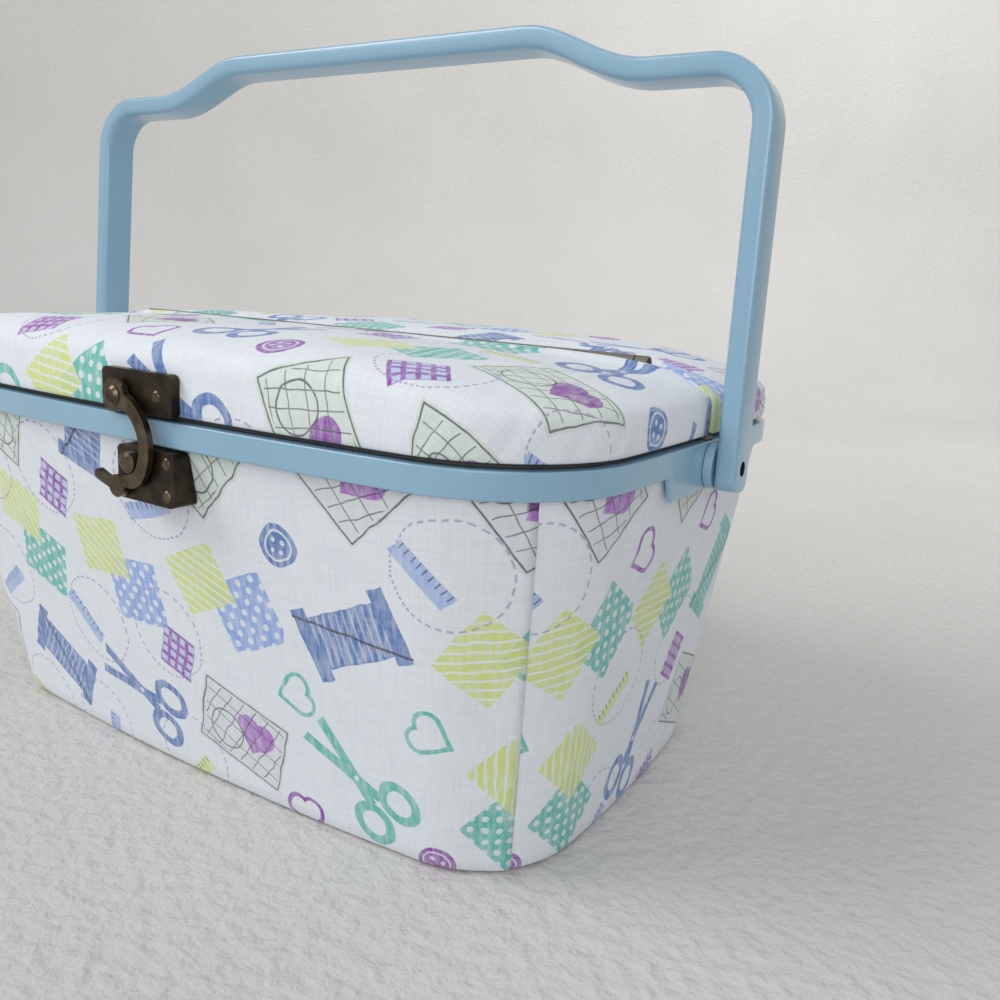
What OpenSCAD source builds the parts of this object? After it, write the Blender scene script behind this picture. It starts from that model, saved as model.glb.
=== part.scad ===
// Fabric-covered sewing carrier with two lids that hinge on one rod under a swinging bail handle.
// The origin is on the table under the middle of the box: X runs along it, -Y is the latch side shown.

/* [Box] */
// Length over the plastic rim band
rim_len = 308; // [300:1:316]
// Width over the plastic rim band
rim_wid = 227; // [216:1:236]
// Height of the rim band's top edge above the table
box_h = 136; // [120:1:150]
// Corner radius of the rim band in plan
rim_corner_r = 49; // [42:1:54]
// How far the long sides bow out between the corners
side_bow = 4; // [2:0.5:6]
// How far the ends bow out between the corners
end_bow = 1.4; // [0.6:0.2:3]
// Length of the box at the table
base_len = 274; // [262:1:284]
// Width of the box at the table
base_wid = 172; // [160:1:182]
// Corner radius of the box at the table
base_corner_r = 40; // [34:1:44]
// Thickness of the board that the walls are made of
board_t = 2.4; // [1.8:0.2:3]
// Thickness of the board in the base
base_board_t = 2.6; // [2:0.2:4]
// Thickness of the printed fabric with its backing
fabric_t = 0.8; // [0.6:0.1:1]
// Thickness of the lining inside
lining_t = 1; // [0.8:0.1:1.2]
// Height of the soft turn at the bottom edge of the fabric
edge_turn = 2.5; // [2:0.1:3]

/* [Rim band] */
// Height of the rim band's outer skirt
rim_h = 8; // [7:0.5:10]
// Height of the rim band's inner skirt
inner_skirt_h = 6; // [4:0.5:7]
// Thickness of the rim band's skirts
rim_skirt_t = 1.6; // [1.2:0.1:2]
// Thickness of the rim band's top
rim_roof_t = 2; // [1.6:0.2:2.6]
// Depth of the lugs that carry the handle, from the rim's top edge
lug_depth = 16; // [14:0.5:20]
// Length of a lug at its lower edge
lug_len = 64; // [50:1:72]
// How much longer a lug is where it leaves the band
lug_flare = 8; // [4:1:12]

/* [Handle] */
// Gap between the rim band and the inner faces of the handle's legs
leg_gap = 3.6; // [3:0.1:6]
// Width of the handle's strap
strap_w = 14.7; // [12:0.1:16]
// Thickness of the handle's strap
strap_t = 7.4; // [6:0.1:8]
// Height of the handle's raised middle above the pivots
handle_h = 141.6; // [136:0.2:150]
// How far the shoulders lie below the raised middle
shoulder_drop = 13.4; // [8:0.2:16]
// Length of the slope between the raised middle and a shoulder
rise_len = 48; // [36:1:60]
// Length of a shoulder's straight stretch
shoulder_len = 21.6; // [14:0.2:30]
// Outer radius of the handle's top corners
handle_corner_r = 22.5; // [16:0.5:26]
// How far each leg leans inwards over the handle's height
leg_lean = 3.9; // [1:0.1:5]
// Angle that the raised handle leans back
handle_lean = 3; // [0:0.5:4]
// Radius of the rounded long edges of the strap
strap_round = 1.8; // [1:0.1:2.4]
// Length of a leg below its pivot
leg_foot = 7.6; // [6:0.2:9]
// Radius of the handle's pivot pins
pivot_r = 2.5; // [2:0.1:3]
// Depth of the pivots below the rim's top edge
pivot_drop = 8; // [7:0.5:10]
// Radius of the washers between the lugs and the handle
washer_r = 8; // [7:0.5:12]

/* [Lids] */
// Height of the lids' upright sides above the rim
lid_side_h = 12; // [11:0.5:14]
// Height of the padded crowns above the rim
lid_crown_h = 27.3; // [25.5:0.1:29]
// Height of the lids' back walls above the rim
lid_back_h = 19.5; // [19:0.1:20]
// How far the lids stand inside the rim's outer face
lid_inset = 1.2; // [0.8:0.1:2]
// Dark gap between the rim and the lower edge of a padded cover
lid_shadow_gap = 1.8; // [1.2:0.1:2.4]
// Thickness of the fabric and padding on a lid's sides
lid_skirt_t = 2.4; // [1.8:0.1:3]
// Thickness of a lid frame's walls
lid_wall_t = 2; // [1.6:0.1:2.4]
// Thickness of a lid frame's top board
lid_board_t = 2; // [1.6:0.1:2.6]

/* [Hinge] */
// Height of the hinge rod's axis above the rim's top edge
hinge_h = 23; // [22.8:0.1:24]
// Radius of the hinge rod
rod_r = 1.5; // [1.2:0.1:1.7]
// Outer radius of the hinge knuckles
knuckle_r = 2.6; // [2.4:0.1:2.8]
// Length of each end of the hinge line, beyond the interleaved knuckles
hinge_end_len = 30; // [20:1:40]
// Length of the post that closes each end of the hinge line
post_len = 5; // [3:0.5:12]
// Thickness of the spine that carries the hinge
spine_t = 5; // [4:0.2:5.4]
// Depth of the spine's tongue below the rim's top edge
spine_tongue = 14; // [10:1:20]
// Height of the spine's low ends above the rim, under the lids' ends
spine_foot_h = 1.2; // [0.8:0.1:1.4]

/* [Latch] */
// Distance of the latch's pivot from the middle of the front
latch_x = 6; // [0:0.5:12]
// Height of the latch's pivot above the rim's top edge
latch_h = 6.5; // [6:0.1:8]
// Width of the upper plate
hook_plate_w = 32; // [30:1:36]
// Height of the upper plate
hook_plate_h = 13; // [12:0.5:13.5]
// Depth of the pressed upper plate
hook_plate_d = 3; // [2:0.2:4]
// Width of the keeper on the body
keeper_w = 26; // [24:1:30]
// Height of the keeper on the body
keeper_h = 17; // [15:0.5:20]
// Thickness of the pressed metal
plate_t = 1; // [0.8:0.1:1.2]
// Thickness of the swinging hook
hook_t = 2; // [1.6:0.1:2.4]
// Width of the hook's arm
hook_w = 4.5; // [3.6:0.1:5]
// Radius of the sweep of the hook's arm
hook_sweep_r = 14.5; // [13.5:0.1:15.5]
// Radius of the keeper's stud
stud_r = 3.4; // [2.6:0.1:3.6]

/* [Hidden] */
$fn = 48;

// Clearances
layer_gap = 0.1;
seat_gap = 0.2;
running_gap = 0.05;
swing_gap = 0.4;

// Straight segments in the parts of an outline
long_n = 14;
end_n = 8;
corner_n = 10;
column_n = 2 * (long_n + end_n + 2 * corner_n);

// Half sizes of the rim and the base
rim_a = rim_len / 2;
rim_b = rim_wid / 2;
base_a = base_len / 2;
base_b = base_wid / 2;

// Wall layers, measured inwards from the fabric's outer face
wall_top_z = box_h - rim_roof_t - seat_gap;
wall_inset = rim_skirt_t + swing_gap;
board_in = fabric_t + layer_gap;
lining_in = board_in + board_t + layer_gap;
wall_in = lining_in + lining_t;
turn_in = 2.2;
skin_foot_z = 0.3;
board_foot_z = fabric_t + layer_gap;
base_lining_z = board_foot_z + base_board_t + layer_gap;

// Inner skirt of the rim, clear of the wall that slopes inwards below it
wall_slope = (rim_b - wall_inset - base_b) / wall_top_z;
skirt_in = wall_inset + wall_in + wall_slope * inner_skirt_h + seat_gap;
rim_in = skirt_in + rim_skirt_t;

// Handle and hinge places
pivot_z = box_h - pivot_drop;
hinge_z = box_h + hinge_h;
handle_inner = rim_a + leg_gap;
handle_half_span = handle_inner + strap_t;
leg_tilt = atan(leg_lean / handle_h);
knuckle_half = rim_a - hinge_end_len;
post_half = knuckle_half + post_len;

// Lid places
lid_foot_z = box_h + 0.3;
lid_board_z = box_h + lid_side_h - lid_board_t;
frame_inset = lid_inset + lid_skirt_t + layer_gap;
frame_back = spine_t / 2 + 2 * swing_gap;
pad_back = frame_back + lid_wall_t + layer_gap;

// Latch places, as distances outwards from the middle plane
lid_face = rim_b - lid_inset;
plate_face = lid_face + layer_gap + hook_plate_d;
collar_t = 1.3;
hook_back = plate_face + collar_t;
hook_face = hook_back + hook_t;
keeper_face = hook_back - 2 * swing_gap;
rivet_r = 1;
rivet_head_r = 2;
rivet_head_t = 0.5;
hook_rivet_r = 1.8;
hook_root_r = 5;

// Arcs of a rounded rectangle whose long sides and ends bow out; a is half its length, b half its width
function bow_radius(half, bow) = (half * half + bow * bow) / (2 * bow);
function long_half(a, r) = a - r - end_bow;
function end_half(b, r) = b - r - side_bow;
function long_angle(a, r) = asin(long_half(a, r) / bow_radius(long_half(a, r), side_bow));
function end_angle(b, r) = asin(end_half(b, r) / bow_radius(end_half(b, r), end_bow));
function front_point(a, b, r, t) =
    let (big = bow_radius(long_half(a, r), side_bow)) [(big + r) * sin(t), big + r - b - (big + r) * cos(t)];
function corner_point(a, b, r, t) = [long_half(a, r) + r * sin(t), -end_half(b, r) - r * cos(t)];
function end_point(a, b, r, t) =
    let (big = bow_radius(end_half(b, r), end_bow)) [a - big - r + (big + r) * cos(t), (big + r) * sin(t)];
function mirror_y(p) = [p[0], -p[1]];
function mirror_x(p) = [-p[0], p[1]];
function steps(from, to, n) = [for (i = [0:n - 1]) from + (to - from) * i / n];

// Outline points, anticlockwise from the left end of the front arc
function half_outline(a, b, r) =
    let (la = long_angle(a, r), ea = end_angle(b, r))
    concat([for (t = steps(-la, la, long_n)) front_point(a, b, r, t)],
           [for (t = steps(la, 90 - ea, corner_n)) corner_point(a, b, r, t)],
           [for (t = steps(-ea, ea, end_n)) end_point(a, b, r, t)],
           [for (t = steps(90 - ea, la, corner_n)) mirror_y(corner_point(a, b, r, t))]);
function outline(a, b, r) = let (half = half_outline(a, b, r)) concat(half, [for (p = half) -p]);
function rim_outline(inset) = outline(rim_a - inset, rim_b - inset, rim_corner_r - inset);

// Outline of the tapered wall at height z, moved inwards by inset
function mix(low, high, z) = low + (high - low) * z / wall_top_z;
function wall_outline(z, inset) =
    outline(mix(base_a, rim_a - wall_inset, z) - inset, mix(base_b, rim_b - wall_inset, z) - inset,
            mix(base_corner_r, rim_corner_r - wall_inset, z) - inset);

// Outline of the front lid in plan, anticlockwise from the middle of its front, with a straight back edge
function lid_half(inset, back) =
    let (a = rim_a - inset, b = rim_b - inset, r = rim_corner_r - inset, la = long_angle(a, r),
         ea = end_angle(b, r), last = asin(back / (bow_radius(end_half(b, r), end_bow) + r)),
         tip = end_point(a, b, r, -last))
    concat([for (t = steps(0, la, 6)) front_point(a, b, r, t)],
           [for (t = steps(la, 90 - ea, 8)) corner_point(a, b, r, t)],
           [for (t = steps(-ea, -last, 5)) end_point(a, b, r, t)],
           [for (x = steps(tip[0], 0, 9)) [x, -back]], [[0, -back]]);
function lid_outline(inset, back) =
    let (half = lid_half(inset, back), n = len(half))
    concat(half, [for (i = [n - 2:-1:1]) mirror_x(half[i])]);

// Height of a lid's back wall above its upright side, falling away round the ends of the hinge
function back_rise(x) =
    let (over = max(abs(x) - knuckle_half, 0) / (rim_a - frame_inset - knuckle_half))
    (lid_back_h - lid_side_h) * sqrt(max(1 - over * over, 0));

// Solid swept through equal rings of points, closed on itself or with two flat ends
module sweep(sections, closed = false) {
    count = len(sections);
    ring = len(sections[0]);
    sides = [for (c = [0:count - (closed ? 1 : 2)], k = [0:ring - 1])
        let (up = (k + 1) % ring, here = c * ring, next = ((c + 1) % count) * ring)
        each [[here + k, here + up, next + up], [here + k, next + up, next + k]]];
    ends = closed ? [] : [[for (k = [ring - 1:-1:0]) k], [for (k = [0:ring - 1]) (count - 1) * ring + k]];
    polyhedron(points = [for (s = sections) each s], faces = concat(sides, ends));
}

// Layer of the wall: profile lists [height, inset] up the outer face and down the inner one
module wall_layer(profile, first = 0, last = column_n - 1, closed = false) {
    rows = [for (p = profile) wall_outline(p[0], p[1])];
    sweep([for (i = [first:last]) let (c = (i + column_n) % column_n)
        [for (k = [0:len(profile) - 1]) [rows[k][c][0], rows[k][c][1], profile[k][0]]]], closed);
}

// Printed fabric between two columns, turned in at the bottom edge
module fabric_panel(first, last) {
    color("aliceblue")
        wall_layer([[skin_foot_z, turn_in], [edge_turn, 0], [wall_top_z, 0], [wall_top_z, fabric_t],
                    [edge_turn + layer_gap, fabric_t], [skin_foot_z, turn_in + fabric_t]], first, last);
}

seam_front = long_n + corner_n / 2;
seam_rear = long_n + corner_n + end_n + corner_n / 2;
module fabric_front() { fabric_panel(-corner_n / 2, seam_front); }
module fabric_rear() { rotate([0, 0, 180]) fabric_front(); }
module fabric_right_end() { fabric_panel(seam_front, seam_rear); }
module fabric_left_end() { rotate([0, 0, 180]) fabric_right_end(); }

module fabric_base() {
    color("aliceblue") linear_extrude(fabric_t)
        polygon(wall_outline(0, turn_in + fabric_t + seat_gap));
}

// Board wall under the fabric
module wall_board() {
    color("tan")
        wall_layer([[board_foot_z, turn_in + fabric_t], [edge_turn + 2 * seat_gap, board_in],
                    [wall_top_z, board_in], [wall_top_z, board_in + board_t],
                    [board_foot_z, board_in + board_t]], closed = true);
}

module base_board() {
    color("tan") translate([0, 0, board_foot_z]) linear_extrude(base_board_t)
        polygon(wall_outline(board_foot_z, lining_in));
}

module lining_wall() {
    color("ghostwhite")
        wall_layer([[base_lining_z, lining_in], [wall_top_z, lining_in], [wall_top_z, wall_in],
                    [base_lining_z, wall_in]], closed = true);
}

module lining_base() {
    color("ghostwhite") translate([0, 0, base_lining_z]) linear_extrude(lining_t)
        polygon(wall_outline(base_lining_z, wall_in + layer_gap));
}

// Ring between two insets of the rim's outline
module rim_ring(outer, inner, h) {
    linear_extrude(h) difference() {
        polygon(rim_outline(outer));
        polygon(rim_outline(inner));
    }
}

// Capping band: a channel over the wall's top edge, with a lug hanging down at each end
module rim_band() {
    lug_top = lug_len + lug_flare;
    color("skyblue") difference() {
        union() {
            translate([0, 0, box_h - rim_roof_t]) rim_ring(0, rim_in, rim_roof_t);
            translate([0, 0, box_h - rim_h]) rim_ring(0, rim_skirt_t, rim_h);
            translate([0, 0, box_h - inner_skirt_h]) rim_ring(skirt_in, rim_in, inner_skirt_h);
            intersection() {
                translate([0, 0, box_h - lug_depth]) rim_ring(0, rim_skirt_t, lug_depth);
                translate([-handle_half_span, 0, 0]) rotate([90, 0, 90])
                    linear_extrude(2 * handle_half_span)
                        polygon([[-lug_top / 2, box_h - rim_h], [-lug_len / 2, box_h - lug_depth],
                                 [lug_len / 2, box_h - lug_depth], [lug_top / 2, box_h - rim_h]]);
            }
        }
        both_ends() on_pivot(rim_a - 2 * rim_skirt_t, handle_inner, pivot_r + running_gap);
    }
}

module both_ends() {
    children();
    rotate([0, 0, 180]) children();
}

// Round pieces on the pivot axis, from one distance from the middle to another
module on_pivot(from, to, r) {
    translate([from, 0, pivot_z]) rotate([0, 90, 0]) cylinder(h = to - from, r = r);
}

washer_gap = washer_r * tan(leg_tilt) + 0.3;
module pivot_washers() {
    color("lightsteelblue") both_ends() difference() {
        on_pivot(rim_a + running_gap, handle_inner - washer_gap, washer_r);
        on_pivot(rim_a - strap_t, handle_half_span, pivot_r + running_gap);
    }
}

// Pins with a thin head behind the lug, their outer ends sunk in the legs
pin_head_t = 0.6;
pin_sink = 2.4;
module pivot_pins() {
    color("slategray") both_ends() {
        on_pivot(rim_a - rim_skirt_t - pin_head_t, rim_a - rim_skirt_t - 0.02, pivot_r + 0.7);
        on_pivot(rim_a - rim_skirt_t - pin_head_t, handle_half_span - pin_sink, pivot_r);
    }
}

// Outer face of the handle from its middle to its right foot, as [x, height above the pivots]
shoulder_h = handle_h - shoulder_drop;
leg_top_x = handle_half_span - leg_lean * (shoulder_h - handle_corner_r) / handle_h;
corner_x = leg_top_x - handle_corner_r;
shoulder_half = corner_x - shoulder_len;
crest_half = shoulder_half - rise_len;
function crest_drop(x) = shoulder_drop * (1 - cos(180 * (x - crest_half) / (shoulder_half - crest_half))) / 2;
handle_right = concat(
    [for (x = steps(0, crest_half, 3)) [x, handle_h]],
    [for (x = steps(crest_half, shoulder_half, 12)) [x, handle_h - crest_drop(x)]],
    [[shoulder_half, shoulder_h]],
    [for (t = steps(90, leg_tilt, 9))
        [corner_x + handle_corner_r * cos(t), shoulder_h - handle_corner_r + handle_corner_r * sin(t)]],
    [[leg_top_x, shoulder_h - handle_corner_r], [handle_half_span, 0]],
    [for (d = [leg_foot - 4, leg_foot - 2, leg_foot - 0.8, leg_foot])
        [handle_half_span + d * leg_lean / handle_h, -d]]);
handle_path = concat([for (i = [len(handle_right) - 1:-1:1]) mirror_x(handle_right[i])], handle_right);

// Width of the strap, drawn in round the lower corners of a foot
function foot_width(h) =
    let (over = max(4 - (leg_foot + h), 0)) strap_w - 2 * (4 - sqrt(max(16 - over * over, 0)));
function unit(v) = v / norm(v);
function path_way(i) = unit(handle_path[min(i + 1, len(handle_path) - 1)] - handle_path[max(i - 1, 0)]);

// Ring of points round the strap, with rounded long edges
function strap_ring(i) =
    let (at = handle_path[i], way = path_way(i), in = [way[1], -way[0]], w = foot_width(at[1]) / 2,
         r = strap_round, d = strap_t)
    [for (c = [[r, w - r, 0], [d - r, w - r, 90], [d - r, r - w, 180], [r, r - w, 270]], t = [0:45:90])
        let (turn = c[2] + t, depth = c[0] - r * cos(turn), across = c[1] + r * sin(turn),
             p = at + in * depth)
        [p[0], across, p[1]]];

module handle() {
    color("skyblue") translate([0, 0, pivot_z]) rotate([-handle_lean, 0, 0]) difference() {
        sweep([for (i = [0:len(handle_path) - 1]) let (ring = strap_ring(i)) ring]);
        translate([-handle_half_span - strap_t, 0, 0]) rotate([0, 90, 0])
            cylinder(h = 2 * (handle_half_span + strap_t), r = pivot_r + running_gap);
    }
}

// Knuckles along the hinge rod: front lid, rear lid and spine take turns
knuckle_n = 11;
knuckle_l = 2 * knuckle_half / knuckle_n;
module on_rod(from, to, r) {
    translate([from, 0, hinge_z]) rotate([0, 90, 0]) cylinder(h = to - from, r = r);
}
module knuckles(first) {
    for (i = [first:3:knuckle_n - 1]) {
        from = -knuckle_half + i * knuckle_l;
        translate([from + swing_gap / 2, 0, 0]) children();
    }
}
module knuckle_barrel() { on_rod(0, knuckle_l - swing_gap, knuckle_r); }
module rod_bore() { on_rod(-rim_a, rim_a, rod_r + running_gap); }

// Bridge across the box, with a tongue between the rim's inner skirts and low ends that rest on the rim
spine_half = rim_a - 2 * swing_gap;
spine_top = hinge_z - knuckle_r - 2.6;
web_t = 2.6;
module spine() {
    tongue_half = rim_a - rim_in - seat_gap;
    foot_z = box_h + seat_gap;
    half_profile = [[tongue_half, box_h - spine_tongue], [tongue_half, foot_z], [spine_half, foot_z],
                    [spine_half, foot_z + spine_foot_h], [post_half, foot_z + spine_foot_h],
                    [post_half, spine_top]];
    color("linen") translate([0, spine_t / 2, 0]) rotate([90, 0, 0]) linear_extrude(spine_t)
        polygon(concat(half_profile, [for (i = [len(half_profile) - 1:-1:0]) mirror_x(half_profile[i])]));
}

module spine_knuckles() {
    color("linen") difference() {
        knuckles(2) {
            knuckle_barrel();
            translate([0, -web_t / 2, spine_top + running_gap])
                cube([knuckle_l - swing_gap, web_t, hinge_z - spine_top - running_gap]);
        }
        rod_bore();
    }
}

// Rounded posts that close the ends of the hinge line
module hinge_end_posts() {
    post_from = knuckle_half + swing_gap / 2;
    color("linen") both_ends() difference() {
        union() {
            on_rod(post_from, post_half, spine_t / 2);
            translate([post_from, -spine_t / 2, spine_top + running_gap])
                cube([post_half - post_from, spine_t, hinge_z - spine_top - running_gap]);
        }
        rod_bore();
    }
}

module hinge_rod() {
    color("silver") on_rod(1 - post_half, post_half - 1, rod_r);
}

// Plate in the shape of a lid's plan
module lid_plate(inset, back, z, h) {
    translate([0, 0, z]) linear_extrude(h) polygon(lid_outline(inset, back));
}

// Shallow frame of the front lid, open below, with a raised back wall
module lid_frame() {
    wall_half = rim_a - frame_inset - seat_gap;
    wall_xs = concat(steps(wall_half, knuckle_half, 6), steps(knuckle_half, -knuckle_half, 1),
                     steps(-knuckle_half, -wall_half, 6));
    color("linen") union() {
        difference() {
            lid_plate(frame_inset, frame_back, lid_foot_z, lid_board_z + lid_board_t - lid_foot_z);
            lid_plate(frame_inset + lid_wall_t, frame_back + lid_wall_t, box_h - 1,
                      lid_board_z - box_h + 1);
        }
        translate([0, -frame_back, 0]) rotate([90, 0, 0]) linear_extrude(lid_wall_t)
            polygon(concat([for (x = wall_xs) [x, box_h + lid_side_h + back_rise(x)]],
                           [[-wall_half, lid_board_z], [wall_half, lid_board_z]]));
    }
}

// Knuckles of the front lid with the webs that fix them to its back wall
module lid_knuckles() {
    web_out = frame_back - running_gap;
    color("linen") difference() {
        knuckles(0) {
            knuckle_barrel();
            translate([0, -web_out, box_h + lid_back_h - 1])
                cube([knuckle_l - swing_gap, web_out - 0.8, hinge_h - lid_back_h + 0.4]);
        }
        rod_bore();
    }
}

// Padded cover of the front lid: upright sides, then a crown whose loops shrink towards its middle
crown_loops = [1, 0.985, 0.96, 0.925, 0.88, 0.82, 0.74, 0.64, 0.5, 0.33, 0.14];
function crown_share(s) = pow(max(1 - pow(s, 4), 0), 1 / 3);
module lid_pad() {
    plan = lid_outline(lid_inset, pad_back);
    middle = [0, -(rim_b - lid_inset + pad_back) / 2];
    side_z = [for (p = plan) box_h + lid_side_h + (p[1] > -pad_back - 0.01 ? back_rise(p[0]) : 0)];
    crown_z = box_h + lid_crown_h;
    levels = concat(
        [[for (p = plan) [p[0], p[1], box_h + lid_shadow_gap]]],
        [for (s = crown_loops) [for (i = [0:len(plan) - 1])
            let (p = middle + s * (plan[i] - middle))
            [p[0], p[1], side_z[i] + (crown_z - side_z[i]) * crown_share(s)]]]);
    count = len(plan);
    sides = [for (l = [0:len(levels) - 2], i = [0:count - 1])
        let (j = (i + 1) % count, here = l * count, up = (l + 1) * count)
        each [[here + i, up + i, up + j], [here + i, up + j, here + j]]];
    peak = len(levels) * count;
    ends = concat([[for (i = [0:count - 1]) i]],
                  [for (i = [0:count - 1]) [(len(levels) - 1) * count + i, peak,
                                            (len(levels) - 1) * count + (i + 1) % count]]);
    color("aliceblue") difference() {
        polyhedron(points = concat([for (l = levels) each l], [[middle[0], middle[1], crown_z]]),
                   faces = concat(sides, ends));
        lid_plate(frame_inset - layer_gap, frame_back - 1, box_h,
                  lid_board_z + lid_board_t + layer_gap - box_h);
    }
}

module lid_lining() {
    color("ghostwhite")
        lid_plate(frame_inset + lid_wall_t + layer_gap, frame_back + lid_wall_t + layer_gap,
                  lid_foot_z + seat_gap, lid_board_z - layer_gap - lid_foot_z - seat_gap);
}

// Places a plan drawn in x and height on the front, at a distance outwards from the middle plane
module on_front(out) {
    rotate([90, 0, 0]) translate([0, 0, out]) children();
}

module rounded_plate(w, h, r) {
    for (s = [-1, 1], t = [-1, 1]) translate([s * (w / 2 - r), t * (h / 2 - r)]) circle(r = r);
    square([w - 2 * r, h], center = true);
    square([w, h - 2 * r], center = true);
}

hook_pivot = [latch_x, box_h + latch_h];
plate_mid = hook_pivot + [hook_plate_w / 2 - 9.5, 1.4];
plate_rivet = plate_mid + [9, -0.6];

// Pressed plate on the lid: a shallow tray, open towards the fabric
module hook_plate() {
    color("dimgray") difference() {
        on_front(plate_face - hook_plate_d) translate(plate_mid)
            linear_extrude(hook_plate_d) rounded_plate(hook_plate_w, hook_plate_h, 2);
        on_front(plate_face - hook_plate_d - 1) translate(plate_mid)
            linear_extrude(hook_plate_d - plate_t + 1)
                rounded_plate(hook_plate_w - 2 * plate_t, hook_plate_h - 2 * plate_t, 1);
        on_front(plate_face - hook_plate_d) translate(hook_pivot)
            cylinder(h = hook_plate_d + 1, r = hook_rivet_r + running_gap);
        on_front(plate_face - hook_plate_d) translate(plate_rivet)
            cylinder(h = hook_plate_d + 1, r = rivet_r + running_gap);
    }
}

// Rivet with a low round head, its shank reaching back through the pressed plate
module rivet(face, back) {
    on_front(face - back) cylinder(h = back + 0.1, r = rivet_r);
    on_front(face + 0.02) cylinder(h = rivet_head_t, r1 = rivet_head_r, r2 = rivet_head_r * 0.6);
}

module plate_rivet_piece() {
    color("darkgray") translate([plate_rivet[0], 0, plate_rivet[1]]) rivet(plate_face, hook_plate_d - 0.1);
}

// Shouldered rivet that the hook turns on
module hook_rivet() {
    color("darkgray") on_front(0) translate(hook_pivot) {
        translate([0, 0, lid_face + 2 * layer_gap])
            cylinder(h = hook_face + seat_gap - lid_face, r = hook_rivet_r);
        translate([0, 0, plate_face + 0.02]) cylinder(h = collar_t - seat_gap, r = rivet_head_r + 1);
        translate([0, 0, hook_face + 0.1]) cylinder(h = 1.2, r1 = rivet_head_r + 1.2, r2 = rivet_head_r);
    }
}

// Wedge between two angles, going clockwise
module wedge(from, to) {
    polygon(concat([[0, 0]], [for (i = [0:6]) let (a = from + (to - from) * i / 6) 60 * [cos(a), sin(a)]]));
}

// Part of a ring between two angles, going clockwise
module ring_sector(r, w, from, to) {
    intersection() {
        difference() {
            circle(r = r + w / 2);
            circle(r = r - w / 2);
        }
        wedge(from, to);
    }
}

// Middle of the sweep of the arm, and of the stud that the hook holds, both from the hook's pivot
stud_gap = 0.35;
sweep_mid = [-1, -hook_sweep_r - 0.5];
curl_r = stud_r + stud_gap + hook_w;
join_angle = -35;
stud_at = sweep_mid + (hook_sweep_r + hook_w / 2 - curl_r) * [cos(join_angle), sin(join_angle)];
stud_reach = norm(stud_at);
stud_angle = atan2(stud_at[1], stud_at[0]);
lip_r = 3.6;
lip_at = [0.2, -(stud_reach + stud_r + stud_gap + lip_r)];
tail_l = 8.5;
tail_w = 3;
curl_end = -125;
mouth_end = -170;

// Swinging hook: an arm that curls under the stud and ends in a thumb tail
module hook() {
    color("dimgray") on_front(hook_back) translate(hook_pivot) linear_extrude(hook_t) difference() {
        union() {
            circle(r = hook_root_r);
            translate(sweep_mid) ring_sector(hook_sweep_r, hook_w, 92, join_angle - 5);
            translate(stud_at) intersection() {
                circle(r = curl_r - 0.1);
                wedge(join_angle + 4, curl_end);
            }
            translate(lip_at) circle(r = lip_r);
            translate(lip_at + [-0.5, 1]) rotate(160) {
                square([tail_l, tail_w]);
                translate([tail_l, tail_w / 2]) circle(r = tail_w / 2 + 0.1);
            }
        }
        translate(stud_at) circle(r = stud_r + stud_gap);
        ring_sector(stud_reach, 2 * (stud_r + stud_gap) - 0.2, stud_angle, mouth_end);
        circle(r = hook_rivet_r + running_gap);
    }
}

// Pressed keeper on the body, cut behind to the slope of the wall
keeper_mid = hook_pivot + [stud_at[0] + 4.5, 0] + [0, -latch_h - rim_h - 0.8 - keeper_h / 2];
module keeper_body(grow, face) {
    on_front(rim_b - 20) translate(keeper_mid) linear_extrude(face - rim_b + 20)
        rounded_plate(keeper_w + 2 * grow, keeper_h + 2 * grow, 2 + grow);
}

// Space behind the fabric's sloping outer face, seen from one end
module behind_wall(gap) {
    translate([-rim_a, 0, 0]) rotate([90, 0, 90]) linear_extrude(rim_len)
        polygon([[0, 0], [-base_b - gap, 0], [-(rim_b - wall_inset) - gap, wall_top_z], [0, wall_top_z]]);
}

module front_and_rear() {
    children();
    rotate([0, 0, 180]) children();
}

keeper_stud_at = hook_pivot + stud_at;
keeper_rivet_at = [keeper_mid + [9.5, 5], keeper_mid + [9.5, -5]];
module keeper_plates() {
    color("dimgray") front_and_rear() difference() {
        keeper_body(0, keeper_face);
        keeper_body(-plate_t, keeper_face - plate_t);
        behind_wall(layer_gap);
        on_front(rim_b - 20) translate(keeper_stud_at) cylinder(h = 40, r = stud_r - 0.8 + running_gap);
        for (p = keeper_rivet_at) on_front(rim_b - 20) translate(p) cylinder(h = 40, r = rivet_r + running_gap);
    }
}

// Turned stud with a domed face, on a thinner spigot through the keeper
module keeper_studs() {
    color("darkgray") front_and_rear() on_front(0) translate(keeper_stud_at) {
        translate([0, 0, keeper_face - 2 * plate_t]) cylinder(h = 2 * plate_t + 0.1, r = stud_r - 0.8);
        translate([0, 0, keeper_face + 0.02])
            cylinder(h = hook_face - keeper_face + 0.4, r = stud_r);
        translate([0, 0, hook_face + 0.4]) cylinder(h = 0.8, r1 = stud_r, r2 = stud_r * 0.6);
    }
}

module keeper_rivets() {
    color("darkgray") front_and_rear() for (p = keeper_rivet_at)
        translate([p[0], 0, p[1]]) rivet(keeper_face, 2);
}

module front_lid_frame() { lid_frame(); }
module front_lid_knuckles() { lid_knuckles(); }
module front_lid_pad() { lid_pad(); }
module front_lid_lining() { lid_lining(); }
module front_hook_plate() { hook_plate(); }
module front_plate_rivet() { plate_rivet_piece(); }
module front_hook_rivet() { hook_rivet(); }
module front_hook() { hook(); }

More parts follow.
